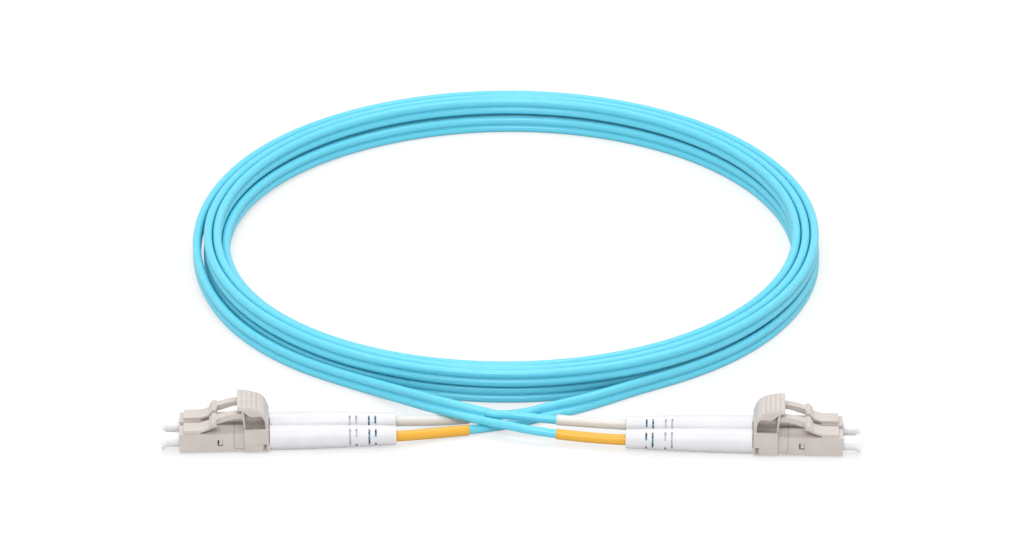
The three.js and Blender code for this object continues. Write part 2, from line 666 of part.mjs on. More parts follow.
// Middle of one strand at the split end of a tail, and a little further along.
function strandStart(points, upper, distance) {
  const curve = new THREE.CatmullRomCurve3(points.map(([x, y, z]) => new THREE.Vector3(x, y, z)));
  const tangent = curve.getTangentAt(1);
  const lean = points[points.length - 1][3];
  const corners = zipRing(curve.getPointAt(1), tangent, lean);
  const middle = corners[0].clone().add(corners[4]).multiplyScalar(0.5);
  const tip = corners[upper ? 0 : 4];
  return middle.lerp(tip, LOBE / (LOBE + STRAND_R)).addScaledVector(tangent, distance);
}

// A point of a plug's frame, in the part's frame.
function plugPoint(end, x, y, z) {
  const { x: px, y: py, heading } = ENDS[end];
  return new THREE.Vector3(x, y, z)
    .applyAxisAngle(new THREE.Vector3(0, 0, 1), THREE.MathUtils.degToRad(heading))
    .add(new THREE.Vector3(px, py, 0));
}

// Free points of the four legs, from the split to the boot, chosen by hand.
const LEGS = {
  left_near: {
    end: 'left', tail: TAIL_LEFT, upper: false, drop: -0.3, aside: 0,
    route: [[-0.2, 6.95, 1.1], [-9.2, 4.0, 1.32], [-17.5, 1.6, 1.72]],
  },
  left_far: {
    end: 'left', tail: TAIL_LEFT, upper: true, drop: 0.1, aside: -0.3,
    route: [[0.2, 10.9, 1.6], [-6.5, 9.9, 1.38], [-12.6, 8.6, 1.5], [-19.5, 6.9, 2.1]],
  },
  right_near: {
    end: 'right', tail: TAIL_RIGHT, upper: false, drop: -0.3, aside: 0,
    route: [[-1.6, 2.8, 3.25], [4.2, 0.9, 3.0], [10.3, -0.1, 2.5], [18.0, -1.3, 2.2]],
  },
  right_far: {
    end: 'right', tail: TAIL_RIGHT, upper: true, drop: 0, aside: 0.3,
    route: [[-0.3, 5.7, 4.15], [4.6, 5.5, 3.7], [10.6, 5.1, 3.25], [18.0, 4.5, 2.95]],
  },
};

function legCurve({ end, tail, upper, drop, aside, route }, side) {
  const y = side * PAIR_HALF;
  const inside = [
    [BOOT_REAR + 1.5, y + aside, AXIS_HEIGHT + drop],
    [BOOT_REAR + BOOT_MOUTH_DEPTH - 3, y + aside * 0.3, AXIS_HEIGHT + drop * 0.3],
    [BOOT_REAR + BOOT_MOUTH_DEPTH + 3, y, AXIS_HEIGHT],
    [CRIMP_TUBE_REAR - CORD_GAP, y, AXIS_HEIGHT],
  ].map(([x, py, z]) => plugPoint(end, x, py, z));
  return new THREE.CatmullRomCurve3([
    strandStart(tail, upper, CORD_GAP),
    strandStart(tail, upper, CORD_GAP + 1.5),
    ...route.map(([x, py, z]) => new THREE.Vector3(x, py, z)),
    ...inside,
  ]);
}

function alongCurve(outline, hole, curve, steps) {
  const shape = new THREE.Shape(outline);
  if (hole) shape.holes.push(new THREE.Path(hole));
  return closed(new THREE.ExtrudeGeometry(shape, { extrudePath: curve, steps, bevelEnabled: false }));
}

// The part of a curve between two distances from its plug end, as a curve of its own.
function stretch(curve, from, to, count) {
  const total = curve.getLength();
  const points = [];
  for (let i = 0; i < count; i++) {
    const distance = from + ((to - from) * i) / (count - 1);
    points.push(curve.getPointAt(1 - distance / total));
  }
  return new THREE.CatmullRomCurve3(points);
}

// ---- assembly ----

const part = new THREE.Group();

function add(parent, name, geometry, look) {
  const mesh = new THREE.Mesh(geometry, look.clone());
  mesh.name = name;
  parent.add(mesh);
}

for (const [end, { x, y, heading, near, sleeveShown }] of Object.entries(ENDS)) {
  const plug = new THREE.Group();
  plug.position.set(x, y, 0);
  plug.rotation.z = THREE.MathUtils.degToRad(heading);
  add(plug, `duplex_clip_${end}`, makeClip(), beigePlastic);
  add(plug, `clip_trigger_${end}`, makeTrigger(), beigePlastic);
  for (const place of ['near', 'far']) {
    const side = place === 'near' ? near : -near;
    const tag = `${end}_${place}`;
    const connector = new THREE.Group();
    connector.position.set(0, side * PAIR_HALF, AXIS_HEIGHT);
    add(connector, `housing_${tag}`, makeHousing(), beigePlastic);
    add(connector, `latch_arm_${tag}`, makeLatchArm(), beigePlastic);
    add(connector, `ferrule_${tag}`, makeFerrule(), zirconia);
    add(connector, `ferrule_collar_${tag}`, makeCollar(), platedMetal);
    add(connector, `spring_${tag}`, makeSpring(), springSteel);
    add(connector, `rear_body_${tag}`, makeRearBody(), beigePlastic);
    add(connector, `crimp_ring_${tag}`, makeCrimpRing(), platedMetal);
    add(connector, `buffered_fibre_${tag}`, makeFibre(), fibreBuffer);
    add(connector, `boot_${tag}`, makeBoot(), whiteBoot);
    add(connector, `dust_cap_${tag}`, makeDustCap(), capPlastic);
    plug.add(connector);

    const curve = legCurve(LEGS[tag], side);
    const steps = Math.round(curve.getLength() / (2.5 * STRAND_D));
    add(part, `cord_leg_${tag}`, alongCurve(ring(STRAND_R, 8), null, curve, steps), aquaJacket);
    const bootExit = CRIMP_TUBE_REAR - CORD_GAP - BOOT_REAR;
    const sleeve = stretch(curve, bootExit - SLEEVE_HIDDEN, bootExit + sleeveShown, 7);
    const sleeveLook = place === 'near' ? yellowSleeve : whiteSleeve;
    const sleeveShape = alongCurve(ring(SLEEVE_R, 10), ring(SLEEVE_BORE_R, 10), sleeve, 5);
    add(part, `marker_sleeve_${tag}`, sleeveShape, sleeveLook);
  }
  part.add(plug);
}

add(part, 'cord_coil', makeCoil(), aquaJacket);
add(part, 'cord_tail_left', makeZipRun(TAIL_LEFT, 9), aquaJacket);
add(part, 'cord_tail_right', makeZipRun(TAIL_RIGHT, 40), aquaJacket);

export default part;
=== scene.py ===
"""Duplex fibre optic patch cord, wound in a round coil on a pale studio table.

Everything is in metres in the CAD model's own frame: the origin is on the table, midway
between the two plugs, +X runs from the left plug to the right one and +Z is up. The sizes
below are in millimetres, and MM turns them to metres where a mesh is made.
"""

import math

import bmesh
import bpy
import numpy as np
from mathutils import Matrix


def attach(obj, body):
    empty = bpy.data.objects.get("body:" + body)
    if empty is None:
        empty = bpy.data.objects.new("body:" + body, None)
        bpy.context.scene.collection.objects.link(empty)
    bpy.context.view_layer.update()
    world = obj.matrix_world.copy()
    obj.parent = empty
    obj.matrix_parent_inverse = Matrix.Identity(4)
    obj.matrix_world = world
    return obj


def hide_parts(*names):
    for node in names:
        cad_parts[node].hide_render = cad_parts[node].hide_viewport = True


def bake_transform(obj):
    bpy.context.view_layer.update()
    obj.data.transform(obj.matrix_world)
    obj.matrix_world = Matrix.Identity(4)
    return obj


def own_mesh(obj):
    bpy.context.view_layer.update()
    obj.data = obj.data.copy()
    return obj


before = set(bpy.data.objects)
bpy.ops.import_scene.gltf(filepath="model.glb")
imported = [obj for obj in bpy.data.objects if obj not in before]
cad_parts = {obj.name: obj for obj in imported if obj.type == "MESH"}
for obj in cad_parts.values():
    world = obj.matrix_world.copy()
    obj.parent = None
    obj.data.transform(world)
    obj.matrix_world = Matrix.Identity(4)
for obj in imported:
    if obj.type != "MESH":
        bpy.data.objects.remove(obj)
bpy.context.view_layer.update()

# ---- Camera --------------------------------------------------------------------------
# A long lens from straight in front, 27 degrees above the table, so the coil shows as an
# ellipse and the plugs nearly from the side. Aimed at a point on the table inside the coil.
MM = 0.001
LENS = 206.3
SENSOR_WIDTH = 36.0
VIEW_DISTANCE = 1.400
VIEW_ELEVATION = math.radians(27.15)
VIEW_AIM = (0.00024, 0.0836, 0.0)

camera_data = bpy.data.cameras.new("camera")
camera_data.lens = LENS
camera_data.sensor_width = SENSOR_WIDTH
camera_data.clip_start = 0.05
camera_data.clip_end = 20.0
camera = bpy.data.objects.new("camera", camera_data)
camera.location = (
    VIEW_AIM[0],
    VIEW_AIM[1] - VIEW_DISTANCE * math.cos(VIEW_ELEVATION),
    VIEW_AIM[2] + VIEW_DISTANCE * math.sin(VIEW_ELEVATION),
)
camera.rotation_euler = (math.pi / 2 - VIEW_ELEVATION, 0.0, 0.0)
bpy.context.collection.objects.link(camera)
bpy.context.scene.camera = camera
bpy.context.scene.view_settings.view_transform = "Standard"

# ---- Zipcord: one jacket round two strands, in a coil and two tails --------------------
# Two 2 mm strands of extruded low-smoke PVC, side by side on a thin web that tears apart.
# The turns lie on edge, three beside each other and two layers deep. The coil is worked
# out; the tails repeat the points chosen for the CAD solids.
STRAND_D = 2.0
STRAND_PITCH = 2.15
WEB_HALF = 0.26
STRAND_ARC_POINTS = 10
ZIP_STEP = 2.0
COIL_CENTRE = (-0.45, 92.47)
COIL_RADIUS = 73.6
COIL_STRETCH = 1.3
COIL_STEPS = 24
COIL_START_ANGLE = 300.0
COIL_RINGS = 133
REVERSE_RING = 65
CLIMB_TURNS = 0.5
TURN_PITCH = 2.17
LAYER_PITCH = 4.6
TABLE_GAP = 0.005
TUBE_EDGE_ANGLE = math.radians(50)
ZIP_REST_Z = (STRAND_PITCH + STRAND_D) / 2 + TABLE_GAP

# x, y, z of the zipcord's middle, and how far its upper strand leans to the right.
TAIL_LEFT = [
    (28.9, 23.1, ZIP_REST_Z, 0),
    (21.9, 18.6, 2.07, 8),
    (14.7, 14.5, 2.0, 22),
    (9.4, 12.2, 1.84, 40),
    (6.6, 11.0, 1.71, 50),
]
TAIL_RIGHT = [
    (-66.3, 126.6, 6.6, 0),
    (-72.9, 109.3, 5.9, 0),
    (-75.1, 91.0, 4.75, 0),
    (-72.8, 73.3, 3.45, 0),
    (-67.2, 58.3, 2.45, 0),
    (-58.4, 44.5, 2.16, 0),
    (-47.2, 33.4, 2.12, 0),
    (-39.4, 27.9, 2.14, 0),
    (-31.7, 22.6, 2.4, -4),
    (-24.1, 15.7, 3.7, -12),
    (-16.6, 9.4, 4.75, -25),
    (-9.3, 6.2, 4.45, -42),
    (-5.9, 5.2, 4.12, -50),
]


def coil_line(rings):
    """Middle of the zipcord at ring numbers, 24 to a turn: the radius shrinks steadily until
    the spiral reverses and then grows again, a little longer from front to back than across,
    and the height climbs one layer on a smooth S."""
    turns = np.asarray(rings, float) / COIL_STEPS
    reverse = REVERSE_RING / COIL_STEPS
    inward = np.minimum(turns, reverse) - np.maximum(turns - reverse, 0)
    radius = COIL_RADIUS - TURN_PITCH * inward
    share = np.clip((turns - reverse + CLIMB_TURNS / 2) / CLIMB_TURNS, 0, 1)
    angle = np.radians(COIL_START_ANGLE + 360 * turns)
    return np.column_stack([
        COIL_CENTRE[0] + radius * np.cos(angle),
        COIL_CENTRE[1] + (radius + COIL_STRETCH) * np.sin(angle),
        ZIP_REST_Z + LAYER_PITCH * share * share * (3 - 2 * share),
    ])


def smooth_route(points, spacing):
    """A natural cubic spline through the points over their chord lengths, column by column,
    read again at even spacing."""
    points = np.asarray(points, float)
    chord = np.linalg.norm(np.diff(points[:, :3], axis=0), axis=1)
    knots = np.concatenate([[0], np.cumsum(chord)])
    count = len(knots)
    system = np.eye(count)
    right = np.zeros((count, points.shape[1]))
    for i in range(1, count - 1):
        before, after = chord[i - 1], chord[i]
        system[i, i - 1:i + 2] = before, 2 * (before + after), after
        right[i] = 6 * (
            (points[i + 1] - points[i]) / after - (points[i] - points[i - 1]) / before
        )
    bend = np.linalg.solve(system, right)
    at = np.linspace(0, knots[-1], max(2, int(round(knots[-1] / spacing)) + 1))
    k = np.clip(np.searchsorted(knots, at, side="right") - 1, 0, count - 2)
    h = chord[k][:, None]
    a = (knots[k + 1] - at)[:, None] / h
    b = 1 - a
    curve = a * points[k] + b * points[k + 1]
    return curve + ((a ** 3 - a) * bend[k] + (b ** 3 - b) * bend[k + 1]) * h * h / 6


def way_along(line):
    """Millimetres travelled along a line at each of its points."""
    step = np.linalg.norm(np.diff(line[:, :3], axis=0), axis=1)
    return np.concatenate([[0], np.cumsum(step)])


def carried(section, centres, leans):
    """A flat section carried along a line of centres. Its first axis points to the right of
    the way along and its second upwards, both turned about the way along by the lean."""
    along = np.gradient(centres, axis=0)
    along /= np.linalg.norm(along, axis=1)[:, None]
    right = np.cross(along, (0, 0, 1))
    right /= np.linalg.norm(right, axis=1)[:, None]
    up = np.cross(right, along)
    lean = np.radians(leans)[:, None]
    first = right * np.cos(lean) - up * np.sin(lean)
    second = up * np.cos(lean) + right * np.sin(lean)
    return (
        centres[:, None]
        + section[None, :, :1] * first[:, None]
        + section[None, :, 1:2] * second[:, None]
    )


def tube_mesh(name, rings):
    """Skin through rings of points, each ring closed on itself, with a fan on both ends.
    The UV map has the share round the ring and the millimetres along the line."""
    count, sides = rings.shape[:2]
    ends = rings[[0, -1]].mean(axis=1)
    points = np.concatenate([rings.reshape(-1, 3), ends])
    i, j = np.meshgrid(np.arange(count - 1), np.arange(sides), indexing="ij")
    k = (j + 1) % sides
    quads = np.stack([
        i * sides + j, i * sides + k, (i + 1) * sides + k, (i + 1) * sides + j,
    ], -1)
    travelled = way_along(rings.mean(axis=1))
    around = np.stack([j, j + 1, j + 1, j], -1) / sides
    along = np.stack([travelled[i], travelled[i], travelled[i + 1], travelled[i + 1]], -1)
    skin_uv = np.stack([around, along], -1).reshape(-1, 2)
    fans_uv = np.zeros((2 * 3 * sides, 2))

    j = np.arange(sides)
    k = (j + 1) % sides
    last = (count - 1) * sides
    start_fan = np.column_stack([np.full(sides, count * sides), k, j])
    end_fan = np.column_stack([np.full(sides, count * sides + 1), last + j, last + k])
    faces = quads.reshape(-1, 4).tolist() + start_fan.tolist() + end_fan.tolist()
    mesh = bpy.data.meshes.new(name)
    mesh.from_pydata((points * MM).tolist(), [], faces)
    layer = mesh.uv_layers.new(name="along")
    layer.data.foreach_set("uv", np.concatenate([skin_uv, fans_uv]).ravel())
    mesh.shade_smooth()
    mesh.set_sharp_from_angle(angle=TUBE_EDGE_ANGLE)
    piece = bpy.data.objects.new(name, mesh)
    bpy.context.collection.objects.link(piece)
    return piece


def zip_section():
    """Outline of the zipcord: a strand's arc above and below, and between them on each side
    the small hollow arc that touches both strands and leaves the web."""
    r, half = STRAND_D / 2, STRAND_PITCH / 2
    hollow = (half ** 2 + WEB_HALF ** 2 - r ** 2) / (2 * (r - WEB_HALF))
    away = hollow + WEB_HALF
    touch = math.atan2(half, away)
    strand = np.linspace(math.pi / 2, -touch, STRAND_ARC_POINTS)
    fillet = np.linspace(math.pi - touch, math.pi, 3)[1:]
    quarter = np.concatenate([
        np.column_stack([r * np.cos(strand), half + r * np.sin(strand)]),
        np.column_stack([away + hollow * np.cos(fillet), hollow * np.sin(fillet)]),
    ])
    lower = quarter[-2::-1] * (1, -1)
    side = np.concatenate([quarter, lower])
    return np.concatenate([side, side[-2:0:-1] * (-1, 1)])[::-1]


coil = coil_line(np.arange(COIL_RINGS + 1))
coil = np.column_stack([coil, np.zeros(len(coil))])
zip_points = np.concatenate([TAIL_LEFT[::-1], coil, TAIL_RIGHT])
# The left tail's leans are written going to its plug, and here the way along is from it.
zip_points[:len(TAIL_LEFT), 3] *= -1
zip_line = smooth_route(zip_points, ZIP_STEP)
zip_middle, zip_lean = zip_line[:, :3], zip_line[:, 3]
zipcord = tube_mesh("zipcord", carried(zip_section(), zip_middle, zip_lean))
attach(zipcord, "cord")
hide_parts("cord_coil", "cord_tail_left", "cord_tail_right")


def linear(hex_colour):
    """sRGB hex to linear RGBA."""
    parts = [int(hex_colour[i:i + 2], 16) / 255 for i in (1, 3, 5)]
    return [c / 12.92 if c <= 0.04045 else ((c + 0.055) / 1.055) ** 2.4 for c in parts] + [1.0]


def add_node(tree, kind, links=None, **settings):
    """Adds a node. links are {socket: value or another node's output socket}."""
    node = tree.nodes.new(kind)
    for key, value in settings.items():
        setattr(node, key, value)
    for socket, value in (links or {}).items():
        if isinstance(value, bpy.types.NodeSocket):
            tree.links.new(value, node.inputs[socket])
        else:
            node.inputs[socket].default_value = value
    return node


def new_material(name):
    """An empty node material, and its tree."""
    material = bpy.data.materials.new(name)
    material.use_nodes = True
    material.node_tree.nodes.clear()
    return material, material.node_tree


def finish_surface(tree, colour, height, rise, shading):
    """Ends a material: its colour, a bump that rises by so many millimetres where the height
    is 1, and the shader's other sockets, named with underscores."""
    bump = add_node(tree, "ShaderNodeBump", {
        "Height": height, "Strength": 1.0, "Distance": rise * MM,
    })
    sockets = {key.replace("_", " "): value for key, value in shading.items()}
    shader = add_node(tree, "ShaderNodeBsdfPrincipled", {
        "Base Color": colour, "Normal": bump.outputs[0], **sockets,
    })
    add_node(tree, "ShaderNodeOutputMaterial", {"Surface": shader.outputs[0]})


def skin_material(name, colours, stretch, bump_height, **shading):
    """Extruded or shrunk plastic, patterned along its own length: the UV map's share round
    and millimetres along are stretched, a noise there tints between the two colours and
    raises the surface by the bump height."""
    material, tree = new_material(name)
    where = add_node(tree, "ShaderNodeUVMap", uv_map="along")
    spread = add_node(tree, "ShaderNodeMapping", {"Vector": where.outputs[0], "Scale": stretch})
    noise = add_node(tree, "ShaderNodeTexNoise", {
        "Vector": spread.outputs[0], "Scale": 1.0, "Detail": 3.0,
    })
    tint = add_node(tree, "ShaderNodeMix", {
        "Factor": noise.outputs[0], 6: linear(colours[0]), 7: linear(colours[1]),
    }, data_type="RGBA")
    finish_surface(tree, tint.outputs[2], noise.outputs[0], bump_height, {"IOR": 1.5, **shading})
    return material


# Aqua jacket: a satin skin with faint draw lines and slow changes of tone along the cord.
jacket = skin_material(
    "aqua low-smoke PVC jacket", ("#60cde5", "#6cd8ee"), (14, 0.5, 1), 0.015,
    Roughness=0.3, Specular_IOR_Level=0.65,
    Subsurface_Weight=0.3, Subsurface_Radius=(0.5, 0.8, 1.0), Subsurface_Scale=0.001,
)
zipcord.data.materials.append(jacket)

# ---- Legs: one strand from the split into each boot ------------------------------------
# Each leg is a single 2 mm strand of the same jacket. It leaves the zipcord where the web
# is torn apart and runs into the boot as far as the crimp tube. Points listed below.
PAIR_PITCH = 6.25
AXIS_HEIGHT = 2.8
CRIMP_TUBE_REAR = -3.6
CRIMP_GAP = 0.3
BOOT_FRONT = -0.15
BOOT_LENGTH = 28.55
BOOT_REAR = BOOT_FRONT - BOOT_LENGTH
BOOT_MOUTH_DEPTH = 14.7
LEG_STEP = 0.8
LEG_SIDES = 28
LEG_START = (-0.5, 1.8)
LEG_IN_MOUTH = 1.5
LEG_CENTRING = 3
LEG_END_TAPER = 0.9
PLUGS = {
    "left": {"x": -54.64, "y": 0.75, "heading": 182.2, "near": 1, "sleeve": 17.1},
    "right": {"x": 54.64, "y": -0.91, "heading": -2.2, "near": -1, "sleeve": 15.9},
}
# drop and aside are the leg's place in the boot's mouth, measured from the boot's axis.
LEG_ROUTES = {
    "left_near": {
        "drop": -0.3, "aside": 0,
        "route": [(-0.2, 6.95, 1.1), (-9.2, 4.0, 1.32), (-17.5, 1.6, 1.72)],
    },
    "left_far": {
        "drop": 0.1, "aside": -0.3,
        "route": [(0.2, 10.9, 1.6), (-6.5, 9.9, 1.38), (-12.6, 8.6, 1.5), (-19.5, 6.9, 2.1)],
    },
    "right_near": {
        "drop": -0.3, "aside": 0,
        "route": [(-1.6, 2.8, 3.25), (4.2, 0.9, 3.0), (10.3, -0.1, 2.5), (18.0, -1.3, 2.2)],
    },
    "right_far": {
        "drop": 0, "aside": 0.3,
        "route": [(-0.3, 5.7, 4.15), (4.6, 5.5, 3.7), (10.6, 5.1, 3.25), (18.0, 4.5, 2.95)],
    },
}


def in_part(points, end, side=0, height=0.0):
    """Points of a plug's own frame, in millimetres, in the part's frame: turned to the
    plug's heading and moved to where it lies. side and height pick a connector's axis."""
    plug = PLUGS[end]
    turn = math.radians(plug["heading"])
    x, y, z = (np.asarray(points, float) + (0, side * PAIR_PITCH / 2, height)).T
    return np.column_stack([
        plug["x"] + x * math.cos(turn) - y * math.sin(turn),
        plug["y"] + x * math.sin(turn) + y * math.cos(turn),
        z,
    ])


CONNECTORS = [
    (end, place, PLUGS[end]["near"] * (1 if place == "near" else -1))
    for end in ("left", "right") for place in ("near", "far")
]
strand_middles = carried(
    np.array([(0, STRAND_PITCH / 2), (0, -STRAND_PITCH / 2)]), zip_middle, zip_lean
)
turn = np.linspace(0, 2 * math.pi, LEG_SIDES, endpoint=False)
unit_circle = np.column_stack([np.cos(turn), np.sin(turn)])[::-1]
leg_lines = {}
for end, place, side in CONNECTORS:
    tag = f"{end}_{place}"
    leg = LEG_ROUTES[tag]
    strand = strand_middles[:, 0 if place == "far" else 1]
    start, before = (strand[0], strand[1]) if end == "left" else (strand[-1], strand[-2])
    outwards = (start - before) / np.linalg.norm(start - before)
    split_points = [start + outwards * beyond for beyond in LEG_START]
    boot_points = in_part([
        (BOOT_REAR + LEG_IN_MOUTH, leg["aside"], leg["drop"]),
        (BOOT_REAR + BOOT_MOUTH_DEPTH - LEG_CENTRING, leg["aside"] * 0.3, leg["drop"] * 0.3),
        (BOOT_REAR + BOOT_MOUTH_DEPTH + LEG_CENTRING, 0, 0),
        (CRIMP_TUBE_REAR - CRIMP_GAP, 0, 0),
    ], end, side, AXIS_HEIGHT)
    line = smooth_route(np.concatenate([split_points, leg["route"], boot_points]), LEG_STEP)[::-1]
    leg_lines[tag] = line
    rings = carried(unit_circle * STRAND_D / 2, line, np.zeros(len(line)))
    rings[-1] = line[-1] + (rings[-1] - line[-1]) * LEG_END_TAPER
    piece = tube_mesh(f"leg_{tag}", rings)
    piece.data.materials.append(jacket)
    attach(piece, "cord")
    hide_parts(f"cord_leg_{tag}")

# ---- Marker sleeves: yellow on the near legs, white on the far ones ----------------------
# A short length of thin heat-shrink tube on each leg, pushed into the boot's mouth, that
# tells the two fibres apart. Its cut end stands a fifth of a millimetre proud of the cord.
SLEEVE_R = 1.22
SLEEVE_WALL = 0.2
SLEEVE_EDGE = 0.12
SLEEVE_HIDDEN = 3.0
SLEEVE_TURNED_IN = 1.0
SLEEVE_RINGS = 26
LOOK_AHEAD = 0.4

# Shrunk polyolefin: satin, with faint rings where it gripped unevenly.
yellow_shrink = skin_material(
    "yellow polyolefin heat-shrink", ("#f1b840", "#e8ad32"), (6, 0.9, 1), 0.02,
    Roughness=0.3, Subsurface_Weight=0.1, Subsurface_Scale=0.0005,
)
white_shrink = skin_material(
    "white polyolefin heat-shrink", ("#e5e4e2", "#dfdedc"), (6, 0.9, 1), 0.02,
    Roughness=0.38, Subsurface_Weight=0.1, Subsurface_Scale=0.0005,
)


def sleeve_rings(line, shown):
    """Circles of the sleeve's radius along the leg's line, from inside the boot's mouth to
    the cut end, where they round off, narrow to the wall's inside and turn back in."""
    travelled = way_along(line)
    mouth = CRIMP_TUBE_REAR - CRIMP_GAP - BOOT_REAR
    tip = mouth + shown
    spots = np.concatenate([
        np.linspace(mouth - SLEEVE_HIDDEN, tip - SLEEVE_EDGE, SLEEVE_RINGS),
        tip - SLEEVE_EDGE * np.cos([1.1, math.pi / 2]),
        [tip, tip - SLEEVE_TURNED_IN],
    ])
    radius = np.full(len(spots), SLEEVE_R)
    radius[-4:] -= 0.05, SLEEVE_EDGE, SLEEVE_WALL, SLEEVE_WALL
    centres, ahead = (
        np.column_stack([np.interp(at, travelled, line[:, k]) for k in range(3)])
        for at in (spots, spots + LOOK_AHEAD)
    )
    return np.concatenate([
        carried(unit_circle * r, np.array([centre, next_centre]), np.zeros(2))[:1]
        for centre, next_centre, r in zip(centres, ahead, radius)
    ])


for end, place, side in CONNECTORS:
    tag = f"{end}_{place}"
    line = leg_lines[tag]
    sleeve = tube_mesh(f"marker_{tag}", sleeve_rings(line, PLUGS[end]["sleeve"]))
    sleeve.data.materials.append(yellow_shrink if place == "near" else white_shrink)
    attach(sleeve, "cord")
    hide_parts(f"marker_sleeve_{tag}")

# ---- Ferrule and its collar, spring, crimp ring and buffered fibre -----------------------
# A polished zirconia pin pressed into a turned, nickel-plated collar that floats on a coil
# spring and squashes it. The crimp ring and the buffered fibre stay as the CAD solids.
FERRULE_R = 0.625
COLLAR_R = 1.45
COLLAR_REAR = 12.95
COLLAR_TUBE_R = 0.8
FIBRE_BORE_R = 0.55
SPRING_REAR = 8.5
SPRING_FRONT = 12.7
SPRING_WIRE = 0.3
SPRING_MIDDLE_R = 1.07
SPRING_TURNS = 7
SPRING_STEPS = 24
WIRE_SIDES = 10
ROUND_EDGE_ANGLE = math.radians(35)


def turned(profile, sides=48, cy=0.0, cz=0.0):
    """A closed profile of x and radius turned about the x axis: each of its points becomes a
    ring of x, radius times cosine and radius times sine, or one pole on the axis."""
    x, r = np.asarray(profile, float).T
    angle = np.linspace(0, 2 * math.pi, sides, endpoint=False)
    pole = r < 1e-9
    size = np.where(pole, 1, sides)
    first = np.cumsum(size) - size
    grid = np.stack([
        np.broadcast_to(x[:, None], (len(x), sides)),
        cy + r[:, None] * np.cos(angle), cz + r[:, None] * np.sin(angle),
    ], -1)
    points = np.concatenate([ring[:n] for ring, n in zip(grid, size)])
    index = first[:, None] + np.where(pole[:, None], 0, np.arange(sides))
    faces = []
    for i in range(len(x)):
        j = (i + 1) % len(x)
        if pole[i] and pole[j]:
            continue
        quads = np.column_stack([
            index[i], np.roll(index[i], -1), np.roll(index[j], -1), index[j],
        ])
        corners = [0, 2, 3] if pole[i] else [0, 1, 2] if pole[j] else [0, 1, 2, 3]
        faces += quads[:, corners].tolist()
    return points, faces


def as_mesh(shell):
    """A mesh from points and faces, without stray points, its faces turned outwards."""
    mesh = bpy.data.meshes.new("shell")
    mesh.from_pydata(shell[0].tolist(), [], shell[1])
    work = bmesh.new()
    work.from_mesh(mesh)
    stray = [v for v in work.verts if not v.link_faces]
    bmesh.ops.delete(work, geom=stray, context="VERTS")
    bmesh.ops.recalc_face_normals(work, faces=work.faces)
    work.to_mesh(mesh)
    work.free()
    mesh.shade_smooth()
    return mesh


def round_mesh(shell):
    """A turned mesh, smooth but for its sharp edges."""
    mesh = as_mesh(shell)
    mesh.set_sharp_from_angle(angle=ROUND_EDGE_ANGLE)
    return mesh


def stamped(mesh, name, material, end, side=0, height=0.0):
    """A copy of a millimetre mesh as its own piece, at its plug and connector."""
    copy = mesh.copy()
    copy.name = name
    points = np.empty(len(copy.vertices) * 3)
    copy.vertices.foreach_get("co", points)
    placed = in_part(points.reshape(-1, 3), end, side, height) * MM
    copy.vertices.foreach_set("co", placed.ravel())
    copy.update()
    copy.materials.clear()
    copy.materials.append(material)
    piece = bpy.data.objects.new(name, copy)
    bpy.context.collection.objects.link(piece)
    return piece


def spring_rings():
    """Wire round the x axis: its middle climbs evenly along x while it turns at the middle
    radius, and its round section lies across the way along."""
    turn = np.linspace(0, 2 * math.pi * SPRING_TURNS, SPRING_STEPS * SPRING_TURNS)
    climb = np.linspace(
        SPRING_REAR + SPRING_WIRE / 2, SPRING_FRONT - SPRING_WIRE / 2, len(turn)
    )
    outwards = np.column_stack([np.zeros(len(turn)), np.cos(turn), np.sin(turn)])
    middle = outwards * SPRING_MIDDLE_R + climb[:, None] * (1, 0, 0)
    along = np.gradient(middle, axis=0)
    along /= np.linalg.norm(along, axis=1)[:, None]
    across = np.cross(along, outwards)
    angle = np.linspace(0, 2 * math.pi, WIRE_SIDES, endpoint=False)[None, :, None]
    section = np.cos(angle) * outwards[:, None] + np.sin(angle) * across[:, None]
    return middle[:, None] + section * SPRING_WIRE / 2


def solid_material(name, colours, tone_size, grain_size, grain_height, **shading):
    """A material for solid pieces: a noise of the tone size, in millimetres, blends between
    two colours, and one of the grain size raises the surface by the grain height."""
    material, tree = new_material(name)
    where = add_node(tree, "ShaderNodeTexCoord").outputs["Object"]
    tone, grain = (
        add_node(tree, "ShaderNodeTexNoise", {
            "Vector": where, "Scale": 1 / (size * MM), "Detail": 2.0,
        })
        for size in (tone_size, grain_size)
    )
    ramp = add_node(tree, "ShaderNodeValToRGB", {"Fac": tone.outputs[0]})
    for stop, place, colour in zip(ramp.color_ramp.elements, (0.35, 0.65), colours):
        stop.position, stop.color = place, linear(colour)
    finish_surface(tree, ramp.outputs[0], grain.outputs[0], grain_height, shading)
    return material


# Polished ceramic: a hard, near-white gloss.
zirconia = solid_material(
    "polished zirconia", ("#efede8", "#f4f2ee"), 2.0, 0.05, 0.0002, Roughness=0.08, IOR=2.1,
)
# Plated brass: bright, with fine turning marks.
nickel = solid_material(
    "nickel plate", ("#b4b7bb", "#c2c5c8"), 1.0, 0.04, 0.001, Metallic=1.0, Roughness=0.25,
)
# Drawn spring wire: darker and a little rougher.
spring_steel = solid_material(
    "drawn spring steel", ("#85888c", "#95989b"), 0.6, 0.05, 0.002, Metallic=1.0, Roughness=0.35,
)
# Extruded buffer over the glass: soft satin aqua.
buffer = solid_material(
    "acrylate fibre buffer", ("#66cadc", "#74d3e4"), 1.5, 0.08, 0.002, Roughness=0.4,
)

